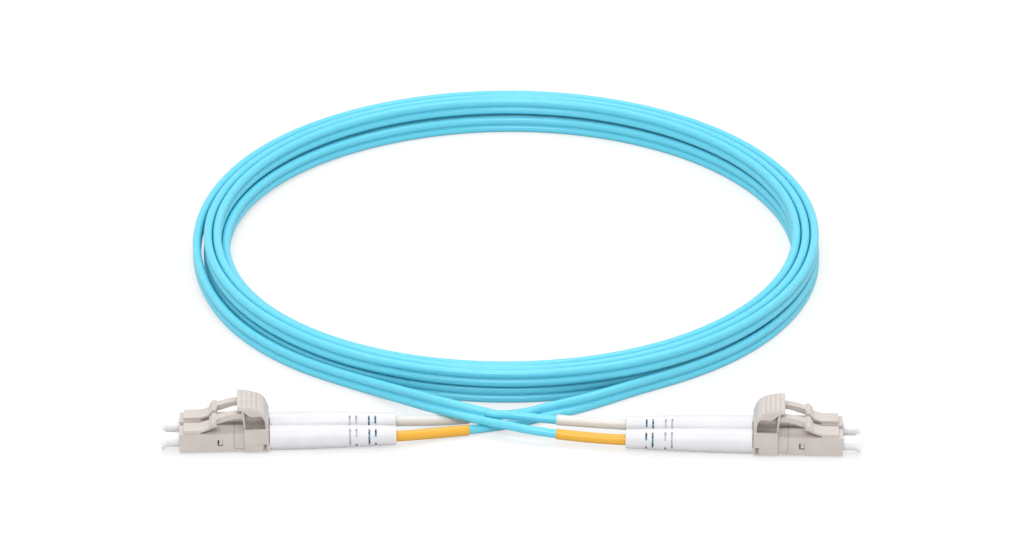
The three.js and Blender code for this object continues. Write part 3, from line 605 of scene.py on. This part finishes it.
ferrule = round_mesh(turned([
    (13.55, 0), (13.55, FERRULE_R), (21.8, FERRULE_R),
    (21.95, 0.6), (22.08, 0.5), (22.15, 0.3), (22.15, 0),
]))
collar = round_mesh(turned([
    (10.65, FIBRE_BORE_R), (10.65, COLLAR_TUBE_R), (COLLAR_REAR, COLLAR_TUBE_R),
    (COLLAR_REAR, COLLAR_R - 0.05), (COLLAR_REAR + 0.05, COLLAR_R), (14.6, COLLAR_R),
    (14.7, 1.42), (15.6, 1.14), (15.7, 1.1), (15.7, FERRULE_R + 0.05),
    (13.5, FERRULE_R + 0.05), (13.5, FIBRE_BORE_R),
]))
spring_wire = spring_rings()
for end, place, side in CONNECTORS:
    tag = f"{end}_{place}"
    for kind, mesh, material, slot in (
        ("ferrule", ferrule, zirconia, "zirconia"),
        ("ferrule_collar", collar, nickel, "plated_metal"),
    ):
        piece = stamped(mesh, f"{kind}_turned_{tag}", material, end, side, AXIS_HEIGHT)
        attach(piece, f"ferrule_{tag}")
        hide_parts(f"{kind}_{tag}")
    wire = in_part(spring_wire.reshape(-1, 3), end, side, AXIS_HEIGHT)
    spring = tube_mesh(f"coil_spring_{tag}", wire.reshape(spring_wire.shape))
    spring.data.materials.append(spring_steel)
    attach(spring, "cord")
    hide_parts(f"spring_{tag}")
    spring_ends = in_part([(SPRING_REAR, 0, 0), (SPRING_FRONT, 0, 0)], end, side, AXIS_HEIGHT)
    seat, front = spring_ends * MM
    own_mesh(spring)
    for kind, material in (("crimp_ring", nickel), ("buffered_fibre", buffer)):
        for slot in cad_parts[f"{kind}_{tag}"].material_slots:
            slot.material = material

# ---- Rear body: nose in the housing, seat in the clip, tube for the crimp ------------------
# Injection-moulded PBT in the same warm grey as the housing. What shows is the square
# block between housing and clip, and a snap tab in each of the housing's side windows.
BODY_HALF = 2.25
BODY_FRONT = 20.15
BODY_JOINT = 7.85
BODY_REVEAL = 0.08
FIT_GAP = 0.05
NOSE_HALF = 1.7
NOSE_FRONT = 11.6
NOSE_BORE_REAR = 8.25
NOSE_BORE_R = 1.3
CRIMP_TUBE_R = 1.45
TAB_OUT = 2.14
TAB_FOOT = -0.46
TAB_TOP = 0.75
WINDOW_REAR = 10.35
WINDOW_FRONT = 11.55
WINDOW_HALF = 0.8
CLIP_LENGTH = 5.55
CLIP_BOTTOM = AXIS_HEIGHT - BODY_HALF
MOULD_EDGE_ANGLE = math.radians(35)


def prism(outline, y0, y1):
    """A closed outline in x and z carried straight across from y0 to y1."""
    outline = np.asarray(outline, float)
    n = len(outline)
    near = np.column_stack([outline[:, 0], np.full(n, y0), outline[:, 1]])
    far = near + (0, y1 - y0, 0)
    i = np.arange(n)
    j = (i + 1) % n
    sides = np.column_stack([i, j, j + n, i + n]).tolist()
    return np.concatenate([near, far]), sides + [list(range(n))[::-1], list(range(n, 2 * n))]


def slab(x0, x1, y0, y1, z0, z1):
    """A straight-sided block."""
    return prism([(x0, z0), (x1, z0), (x1, z1), (x0, z1)], y0, y1)


def fused(joined, cuts=(), bevel=0.1, segments=2):
    """One skin, in millimetres: the first shell joined with the others, less the cuts, with
    every sharp edge rounded to the bevel and flat faces shaded flat."""
    base = bpy.data.objects.new("work", as_mesh(joined[0]))
    bpy.context.collection.objects.link(base)
    helpers = []
    for operation, shells in (("UNION", joined[1:]), ("DIFFERENCE", cuts)):
        for shell in shells:
            helper = bpy.data.objects.new("helper", as_mesh(shell))
            bpy.context.collection.objects.link(helper)
            helpers.append(helper)
            step = base.modifiers.new("step", "BOOLEAN")
            step.operation = operation
            step.object = helper
            step.solver = "EXACT"
    edge = base.modifiers.new("edge", "BEVEL")
    edge.width = bevel
    edge.segments = segments
    edge.limit_method = "ANGLE"
    edge.angle_limit = MOULD_EDGE_ANGLE
    edge.use_clamp_overlap = True
    even = base.modifiers.new("even", "WEIGHTED_NORMAL")
    even.weight = 80
    bpy.context.view_layer.update()
    seen = base.evaluated_get(bpy.context.evaluated_depsgraph_get())
    mesh = bpy.data.meshes.new_from_object(seen)
    for extra in [base] + helpers:
        bpy.data.objects.remove(extra)
    return mesh


def ledge_cut(sign):
    """A notch low on one side of the rear body that leaves a ledge sloping outwards."""
    section = np.array([(1.85, -1.38), (2.6, -1.38), (2.6, -2.2), (2.25, -2.2)]) * (sign, 1)
    corners = np.concatenate([np.column_stack([np.full(4, x), section]) for x in (5.75, 7.6)])
    return corners, [
        [0, 1, 2, 3], [7, 6, 5, 4], [0, 4, 5, 1], [1, 5, 6, 2], [2, 6, 7, 3], [3, 7, 4, 0],
    ]


# Moulded PBT with a fine spark-eroded grain: satin, a little uneven in tone.
pbt = solid_material(
    "warm grey moulded PBT", ("#cac2bc", "#d0c8c2"), 3.0, 0.12, 0.004,
    Roughness=0.42, IOR=1.55, Subsurface_Weight=0.08, Subsurface_Scale=0.0004,
)

# Each tab fills its window but for a gap below it and one beside it, in front of the tab on
# one side of the body and behind it on the other.
tabs = [
    slab(10.42, 11.2, 1.0, TAB_OUT, TAB_FOOT, TAB_TOP),
    slab(10.65, 11.48, -TAB_OUT, -1.0, TAB_FOOT, TAB_TOP),
]
tab_gaps = [
    slab(11.2, 11.7, 1.0, 2.3, -WINDOW_HALF, WINDOW_HALF),
    slab(10.3, 11.7, 1.0, 2.3, -WINDOW_HALF, TAB_FOOT),
    slab(10.3, 10.65, -2.3, -1.0, -WINDOW_HALF, WINDOW_HALF),
    slab(10.3, 11.7, -2.3, -1.0, -WINDOW_HALF, TAB_FOOT),
]
rear_body = fused([
    slab(
        CLIP_LENGTH + FIT_GAP, BODY_JOINT - BODY_REVEAL,
        -BODY_HALF, BODY_HALF, -BODY_HALF, BODY_HALF,
    ),
    slab(1.0, BODY_JOINT - 1, -BODY_HALF + 0.03, BODY_HALF - 0.03, -1.75, 1.2),
    slab(BODY_JOINT - 1, NOSE_FRONT, -NOSE_HALF, NOSE_HALF, -NOSE_HALF, NOSE_HALF),
    *tabs,
    turned([(CRIMP_TUBE_REAR, 0), (CRIMP_TUBE_REAR, CRIMP_TUBE_R), (2, CRIMP_TUBE_R), (2, 0)]),
], cuts=[
    turned([(NOSE_BORE_REAR, 0), (NOSE_BORE_REAR, NOSE_BORE_R), (13, NOSE_BORE_R), (13, 0)]),
    turned([(-5, 0), (-5, FIBRE_BORE_R), (9, FIBRE_BORE_R), (9, 0)], 24),
    *tab_gaps,
    ledge_cut(-1), ledge_cut(1),
], bevel=0.07)
for end, place, side in CONNECTORS:
    tag = f"{end}_{place}"
    piece = stamped(rear_body, f"rear_block_{tag}", pbt, end, side, AXIS_HEIGHT)
    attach(piece, "cord")
    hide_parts(f"rear_body_{tag}")

# ---- Housing: the square front shell -------------------------------------------------------
# Also PBT. A square box with the round mouth in front that the mating sleeve enters, a
# snap window on each side and the faint ring of an ejector pin beside it.
MOUTH_REAR = 16.75
MOUTH_R = 1.95
STOP_REAR = 15.0
STOP_R = 1.15
CAVITY_FRONT = 15.75
CAVITY_HALF = 1.75
EJECTOR_X = 15.4
EJECTOR_R = 0.5
EJECTOR_DEPTH = 0.05


def side_disc(sign):
    """A round block through one side wall's outer skin, where the ejector pin pressed."""
    angle = np.linspace(0, 2 * math.pi, 32, endpoint=False)
    outline = np.column_stack([
        EJECTOR_X + EJECTOR_R * np.cos(angle), EJECTOR_R * np.sin(angle),
    ])
    return prism(outline, *sorted((sign * (BODY_HALF - EJECTOR_DEPTH), sign * 3)))


housing = fused(
    [slab(BODY_JOINT, BODY_FRONT, -BODY_HALF, BODY_HALF, -BODY_HALF, BODY_HALF)],
    cuts=[
        turned([(MOUTH_REAR, 0), (MOUTH_REAR, MOUTH_R), (22, MOUTH_R), (22, 0)]),
        turned([(STOP_REAR, 0), (STOP_REAR, STOP_R), (18, STOP_R), (18, 0)]),
        slab(7, CAVITY_FRONT, -CAVITY_HALF, CAVITY_HALF, -CAVITY_HALF, CAVITY_HALF),
        slab(WINDOW_REAR, WINDOW_FRONT, -3, 3, -WINDOW_HALF, WINDOW_HALF),
        side_disc(-1), side_disc(1),
    ],
    bevel=0.14, segments=3,
)
for end, place, side in CONNECTORS:
    tag = f"{end}_{place}"
    piece = stamped(housing, f"front_shell_{tag}", pbt, end, side, AXIS_HEIGHT)
    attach(piece, "cord")
    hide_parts(f"housing_{tag}")

# ---- Latch arm: moulded in one with the housing, bent down to let go -------------------------
# It springs from a block on top of the housing's front end, rises backwards over a lug on
# each side and ends in a narrow tail under the trigger. The real arm bends just behind the block;
# here it stays fixed.
LATCH_FRONT = 19.15
LATCH_HALF = 1.95
TAIL_HALF = 1.0
LUG_HALF = 2.4
ramp_top = smooth_route([(15.5, 3.1), (14.6, 3.3), (13.4, 3.85), (12.6, 4.65), (11.95, 5.5)], 0.3)
ramp_under = smooth_route([(11.6, 4.15), (12.5, 3.7), (13.6, 3.2), (15.3, 2.55)], 0.4)
tail_top = smooth_route([
    (11.9, 5.5), (10.8, 5.85), (9.4, 6.25), (7.6, 6.58), (6.2, 6.6), (5.35, 6.6),
], 0.5)
tail_under = smooth_route([(5.35, 5.5), (6.6, 5.5), (7.9, 5.42), (9.4, 4.95), (11.9, 4.1)], 0.5)
latch_arm = fused([
    prism(np.concatenate([
        [(LATCH_FRONT, 2.1), (LATCH_FRONT, 3.1)], ramp_top,
        [(11.65, 5.52)], ramp_under, [(15.55, 2.1)],
    ]), -LATCH_HALF, LATCH_HALF),
    prism(np.concatenate([
        tail_top, tail_under, [(12.3, 4.2), (12.3, 5.2)],
    ]), -TAIL_HALF, TAIL_HALF),
    prism([(13.4, 4.15), (12.6, 5.25), (11.68, 5.25), (11.68, 4.25)], -LUG_HALF, LUG_HALF),
], bevel=0.1)
for end, place, side in CONNECTORS:
    tag = f"{end}_{place}"
    piece = stamped(latch_arm, f"latch_{tag}", pbt, end, side, AXIS_HEIGHT)
    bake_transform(piece)
    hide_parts(f"latch_arm_{tag}")

# ---- Duplex clip: the saddle that holds the two connectors side by side ------------------------
# Same PBT. Two side walls, a middle rib and a floor, closed behind by a wall with a round
# hole for each boot. The lower third of each wall is set back, with a slot at the rear.
CLIP_INNER = PAIR_PITCH / 2 + BODY_HALF + FIT_GAP
CLIP_OUTER = CLIP_INNER + 0.45
CLIP_TOP = 6.2
BAND_STEP = 0.13
BAND_FOOT = 2.5
MIDDLE_RIB_HALF = 0.82
REAR_WALL = 0.8
BOOT_HOLE_R = 1.95
SLOT_Y = 5.8
# Faces of two shells that would lie in one plane are set this far apart before they are fused.
OFFSET = 0.01
clip_shells = [slab(0, CLIP_LENGTH, -CLIP_OUTER + 0.2, CLIP_OUTER - 0.2, CLIP_BOTTOM, 1.0)]
for sign in (-1, 1):
    low, high = sorted((sign * CLIP_INNER, sign * CLIP_OUTER))
    clip_shells.append(slab(0, CLIP_LENGTH, low, high, BAND_FOOT, CLIP_TOP))
    low, high = sorted((sign * CLIP_INNER, sign * (CLIP_OUTER - BAND_STEP)))
    clip_shells.append(slab(0, CLIP_LENGTH, low, high, CLIP_BOTTOM + OFFSET, 3))
clip_shells += [
    slab(0, CLIP_LENGTH, -MIDDLE_RIB_HALF, MIDDLE_RIB_HALF, CLIP_BOTTOM + 2 * OFFSET, 4.2),
    slab(
        0, REAR_WALL, -CLIP_OUTER + 0.25, CLIP_OUTER - 0.25,
        CLIP_BOTTOM + 3 * OFFSET, CLIP_TOP - 0.1,
    ),
]
boot_holes = [
    turned(
        [(-1, 0), (-1, BOOT_HOLE_R), (2, BOOT_HOLE_R), (2, 0)],
        cy=sign * PAIR_PITCH / 2, cz=AXIS_HEIGHT,
    )
    for sign in (-1, 1)
]
rear_slots = [
    slab(0.42, 1.3, sign * SLOT_Y - 0.6, sign * SLOT_Y + 0.6, 0.9, BAND_FOOT + 2 * OFFSET)
    for sign in (-1, 1)
]
clip = fused(clip_shells, cuts=boot_holes + rear_slots, bevel=0.09)
for end in PLUGS:
    piece = stamped(clip, f"saddle_{end}", pbt, end)
    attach(piece, "cord")
    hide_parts(f"duplex_clip_{end}")

# ---- Trigger: the ribbed thumb pad that presses both latches -----------------------------------
# Moulded in one with the clip. A curved strap rises from the clip's rear wall and widens
# into the pad, with a cheek and a thin leg down each side. The real trigger bends at its thin foot;
# here it stays fixed.
TRIGGER_HALF = 4.6
CHEEK_THICKNESS = 0.35
CHEEK_FOOT = 5.45
PRESSER_HALF = 4.125
RIB_COUNT = 5
RIB_FRONT = 6.95
RIB_PITCH = 1.08
RIB_GAP = 0.26
RIB_HEIGHT = 0.17
RIB_INSET = 0.3
pad_top = smooth_route([
    (7.05, 11.1), (5.5, 10.98), (3.7, 10.58), (1.9, 9.9), (1.0, 9.1), (0.5, 8.0),
    (0.1, 6.7), (0.0, 5.95),
], 0.35)
pad_under = smooth_route([
    (0.75, 5.95), (0.8, 6.8), (0.95, 7.9), (1.6, 8.95), (2.9, 9.75), (4.3, 10.22),
    (5.6, 10.42), (7.05, 10.5),
], 0.4)
cheek_under = smooth_route([
    (1.0, 8.5), (1.5, 8.88), (3.4, 8.85), (4.3, 9.05), (4.9, 9.5), (5.6, 10.25),
], 0.3)
cheek = np.concatenate([
    [(6.05, 10.6), (5.5, CHEEK_FOOT), (5.1, CHEEK_FOOT)], cheek_under[::-1],
    [(0.85, 8.7), (1.62, 9.5), (2.85, 10.2), (4.15, 10.6)],
])
trigger_shells = [prism(np.concatenate([pad_top, pad_under]), -TRIGGER_HALF, TRIGGER_HALF)]
for low in (-TRIGGER_HALF, TRIGGER_HALF - CHEEK_THICKNESS):
    trigger_shells.append(prism(cheek, low, low + CHEEK_THICKNESS))
trigger_shells.append(slab(5.4, 5.8, -PRESSER_HALF, PRESSER_HALF, 9.65, 10.6))
for front in RIB_FRONT - RIB_PITCH * np.arange(RIB_COUNT):
    across = np.linspace(front, front - RIB_PITCH + RIB_GAP, 4)
    height = np.interp(-across, -pad_top[:, 0], pad_top[:, 1])
    rib = np.concatenate([
        np.column_stack([across, height + RIB_HEIGHT]),
        np.column_stack([across, height - 0.25])[::-1],
    ])
    trigger_shells.append(prism(rib, -TRIGGER_HALF + RIB_INSET, TRIGGER_HALF - RIB_INSET))
trigger = fused(trigger_shells, bevel=0.07)
for end in PLUGS:
    piece = stamped(trigger, f"thumb_pad_{end}", pbt, end)
    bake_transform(piece)
    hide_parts(f"clip_trigger_{end}")

# ---- Boot: the long soft sleeve that keeps the cord from kinking -------------------------------
# Moulded white TPE, pushed over the crimp ring. It narrows towards its rear, where four
# rings of slits let it flex: two shallow ones, then two that go right through.
BOOT_SIDES = 120
COLUMN_DEGREES = 360 // BOOT_SIDES
BOOT_FRONT_R = 2.83
BOOT_REAR_R = 2.15
BOOT_TAPER_POWER = 1.9
BOOT_GRIP_R = 2.0
BOOT_NECK_R = 1.3
BOOT_MOUTH_R = 1.8
SLIT_WIDTH = 0.42
# Each ring of slits: its x, the degrees that each slit spans, and a shallow slit's floor radius.
SLITS = [
    (-18.27, ((-42, 69), (111, 222)), 1.86),
    (-19.73, ((21, 69), (111, 159), (-81, -15), (195, 261)), 1.86),
    (-22.6, ((-42, 69), (111, 222)), None),
    (-24.05, ((21, 69), (111, 159), (-81, -15), (195, 261)), None),
]


def boot_radius(x):
    """Radius of the boot: the front radius less a share that grows with the 1.9th power of
    the way back."""
    share = ((BOOT_FRONT - x) / BOOT_LENGTH) ** BOOT_TAPER_POWER
    return BOOT_FRONT_R - (BOOT_FRONT_R - BOOT_REAR_R) * share


def boot_rows():
    """x and radius of every ring: the outside from rear to front, the bore from front to
    rear, and two floor rings for each shallow slit. Each slit has a ring at both its edges."""
    edges = [x + sign * SLIT_WIDTH / 2 for x, _, _ in SLITS for sign in (1, -1)]
    plain = np.linspace(BOOT_REAR + 0.5, BOOT_FRONT - 0.3, 22)
    clear = abs(plain[:, None] - [x for x, _, _ in SLITS]).min(axis=1) > SLIT_WIDTH / 2 + 0.1
    taper = np.sort(np.concatenate([plain[clear], edges]))
    outside = [
        (BOOT_REAR, BOOT_MOUTH_R + 0.05), (BOOT_REAR, BOOT_REAR_R - 0.12),
        (BOOT_REAR + 0.04, BOOT_REAR_R - 0.04), (BOOT_REAR + 0.14, BOOT_REAR_R),
    ]
    outside += [(x, boot_radius(x)) for x in taper]
    outside += [(BOOT_FRONT - 0.1, BOOT_FRONT_R), (BOOT_FRONT, BOOT_FRONT_R - 0.1)]
    inside = [
        (BOOT_FRONT, BOOT_GRIP_R), (BOOT_FRONT - 6, BOOT_GRIP_R),
        (BOOT_FRONT - 6.7, BOOT_NECK_R), (BOOT_REAR + BOOT_MOUTH_DEPTH + 0.5, BOOT_NECK_R),
        (BOOT_REAR + BOOT_MOUTH_DEPTH, BOOT_MOUTH_R),
    ]
    inside += [(x, BOOT_MOUTH_R) for x in edges] + [(BOOT_REAR + 0.06, BOOT_MOUTH_R)]
    floors = [
        (x + sign * SLIT_WIDTH / 2, floor)
        for x, _, floor in SLITS if floor for sign in (1, -1)
    ]
    return np.array(outside), np.array(inside), np.array(floors)


def boot_shell():
    """The rings turned about the x axis, flattened where they would go below the table. Cells
    inside a slit are left out and walled, down to the bore or to a shallow slit's floor."""
    outside, inside, floors = boot_rows()
    rows = np.concatenate([outside, inside, floors])
    loop = len(outside) + len(inside)
    angle = np.linspace(0, 2 * math.pi, BOOT_SIDES, endpoint=False)
    points = np.stack([
        np.repeat(rows[:, :1], BOOT_SIDES, axis=1),
        rows[:, 1:] * np.cos(angle), rows[:, 1:] * np.sin(angle),
    ], -1).reshape(-1, 3)
    points[:, 2] = np.maximum(points[:, 2], TABLE_GAP - AXIS_HEIGHT)

    def corner(row, column):
        return row * BOOT_SIDES + column % BOOT_SIDES

    def strip(row_a, row_b, columns):
        return np.column_stack([
            corner(row_a, columns), corner(row_a, columns + 1),
            corner(row_b, columns + 1), corner(row_b, columns),
        ]).tolist()

    kept = np.ones((loop, BOOT_SIDES), bool)
    faces = []
    next_floor = loop
    for x, spans, floor in SLITS:
        rear_edge = int(np.argmin(abs(outside[:, 0] - (x - SLIT_WIDTH / 2))))
        deep_front = len(outside) + int(np.argmin(abs(inside[:, 0] - (x + SLIT_WIDTH / 2))))
        if floor:
            deep_front = next_floor
            next_floor += 2
        for span in spans:
            first, last = (degrees // COLUMN_DEGREES for degrees in span)
            columns = np.arange(first, last)
            kept[rear_edge, columns % BOOT_SIDES] = False
            if floor:
                faces += strip(deep_front, deep_front + 1, columns)
            else:
                kept[deep_front, columns % BOOT_SIDES] = False
            faces += strip(rear_edge, deep_front + 1, columns)
            faces += strip(rear_edge + 1, deep_front, columns)
            for column in (first, last):
                faces.append([
                    corner(rear_edge, column), corner(rear_edge + 1, column),
                    corner(deep_front, column), corner(deep_front + 1, column),
                ])
    for row in range(loop):
        faces += strip(row, (row + 1) % loop, np.flatnonzero(kept[row]))
    return points, faces


# Soft white moulding: satin, faintly translucent, with a very fine grain.
boot_tpe = solid_material(
    "white moulded TPE", ("#dedee2", "#e3e3e6"), 4.0, 0.15, 0.003,
    Roughness=0.45, IOR=1.5,
    Subsurface_Weight=0.15, Subsurface_Radius=(1.0, 1.0, 1.0), Subsurface_Scale=0.0006,
)
boot = round_mesh(boot_shell())
for end, place, side in CONNECTORS:
    tag = f"{end}_{place}"
    piece = stamped(boot, f"flex_boot_{tag}", boot_tpe, end, side, AXIS_HEIGHT)
    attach(piece, "cord")
    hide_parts(f"boot_{tag}")

# ---- Dust cap: the soft plug over the ferrule ----------------------------------------------------
# Milky polyethylene, thin-walled, with a flared rim to pull it off by. It grips the
# ferrule with its bore and stands out of the housing's mouth.
CAP_REAR = 17.25
CAP_BORE_R = 0.85
CAP_BORE_FRONT = 22.85
CAP_R = 1.65
CAP_SIDES = 64
cap = round_mesh(turned([
    (CAP_REAR, CAP_BORE_R), (CAP_REAR, 1.45), (17.32, 1.52), (17.65, CAP_R), (20.8, CAP_R),
    (22.9, 1.67), (23.15, 1.75), (23.4, 1.95), (23.8, 2.08), (24.1, 2.18), (24.18, 2.17),
    (24.2, 2.1), (24.2, 1.75), (24.02, 1.6), (24.0, 0),
    (CAP_BORE_FRONT, 0), (CAP_BORE_FRONT, CAP_BORE_R),
], CAP_SIDES))
# Soft moulding, milky right through: satin, and light spreads inside its thin wall.
cap_pe = solid_material(
    "milky polyethylene", ("#f0f0f5", "#f4f4f8"), 2.5, 0.2, 0.003,
    Roughness=0.3, IOR=1.5,
    Subsurface_Weight=0.9, Subsurface_Radius=(1.0, 1.0, 1.0), Subsurface_Scale=0.0015,
)
for end, place, side in CONNECTORS:
    tag = f"{end}_{place}"
    piece = stamped(cap, f"soft_cap_{tag}", cap_pe, end, side, AXIS_HEIGHT)
    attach(piece, f"cap_{tag}")
    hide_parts(f"dust_cap_{tag}")

# ---- Table, backdrop and light -------------------------------------------------------------------
# A white paper sweep under a bright, even sky, with one softbox in front and one overhead.
# The camera sees the paper and the sky close to white; the object gets a plain, soft light.
TABLE_HALF = 4
PAPER_GREY = 0.65
PAPER_GREY_SEEN = 0.34
PAPER_GLOW_SEEN = 0.64
SKY_STRENGTH = 0.8
SKY_STRENGTH_SEEN = 1.0
floor_mesh = bpy.data.meshes.new("table")
floor_mesh.from_pydata([
    (-TABLE_HALF, -TABLE_HALF, 0), (TABLE_HALF, -TABLE_HALF, 0),
    (TABLE_HALF, TABLE_HALF, 0), (-TABLE_HALF, TABLE_HALF, 0),
], [], [(0, 1, 2, 3)])
floor = bpy.data.objects.new("table", floor_mesh)
bpy.context.collection.objects.link(floor)
paper, tree = new_material("white paper sweep")
seen = add_node(tree, "ShaderNodeLightPath").outputs["Is Camera Ray"]
tone = add_node(tree, "ShaderNodeMix", {
    "Factor": seen, 6: [PAPER_GREY] * 3 + [1.0], 7: [PAPER_GREY_SEEN] * 3 + [1.0],
}, data_type="RGBA")
diffuse = add_node(tree, "ShaderNodeBsdfDiffuse", {"Color": tone.outputs[2]})
backlight = add_node(tree, "ShaderNodeMath", {0: seen, 1: PAPER_GLOW_SEEN}, operation="MULTIPLY")
glow = add_node(tree, "ShaderNodeEmission", {
    "Color": (1, 1, 1, 1), "Strength": backlight.outputs[0],
})
both = add_node(tree, "ShaderNodeAddShader", {0: diffuse.outputs[0], 1: glow.outputs[0]})
add_node(tree, "ShaderNodeOutputMaterial", {"Surface": both.outputs[0]})
floor_mesh.materials.append(paper)


def softbox(name, place, aim, width, depth, power):
    """An area lamp of a real softbox's size, pointed at a place on the table."""
    lamp = bpy.data.lights.new(name, "AREA")
    lamp.shape = "RECTANGLE"
    lamp.size, lamp.size_y = width, depth
    lamp.energy = power
    box = bpy.data.objects.new(name, lamp)
    box.location = place
    way = np.subtract(aim, place)
    tilt = math.pi / 2 - math.atan2(-way[2], math.hypot(way[0], way[1]))
    box.rotation_euler = (tilt, 0, math.atan2(way[1], way[0]) - math.pi / 2)
    bpy.context.collection.objects.link(box)


softbox("key softbox", (-0.12, -0.72, 0.95), (0, 0.06, 0), 0.6, 0.4, 4.8)
softbox("overhead softbox", (0.05, 0.35, 0.95), (0, 0.08, 0), 0.9, 0.25, 3.0)

world = bpy.data.worlds.new("studio")
bpy.context.scene.world = world
world.use_nodes = True
tree = world.node_tree
background = tree.nodes["Background"]
background.inputs["Color"].default_value = (1, 1, 1, 1)
strength = add_node(tree, "ShaderNodeMapRange", {
    "Value": add_node(tree, "ShaderNodeLightPath").outputs["Is Camera Ray"],
    "To Min": SKY_STRENGTH, "To Max": SKY_STRENGTH_SEEN,
})
tree.links.new(strength.outputs[0], background.inputs["Strength"])
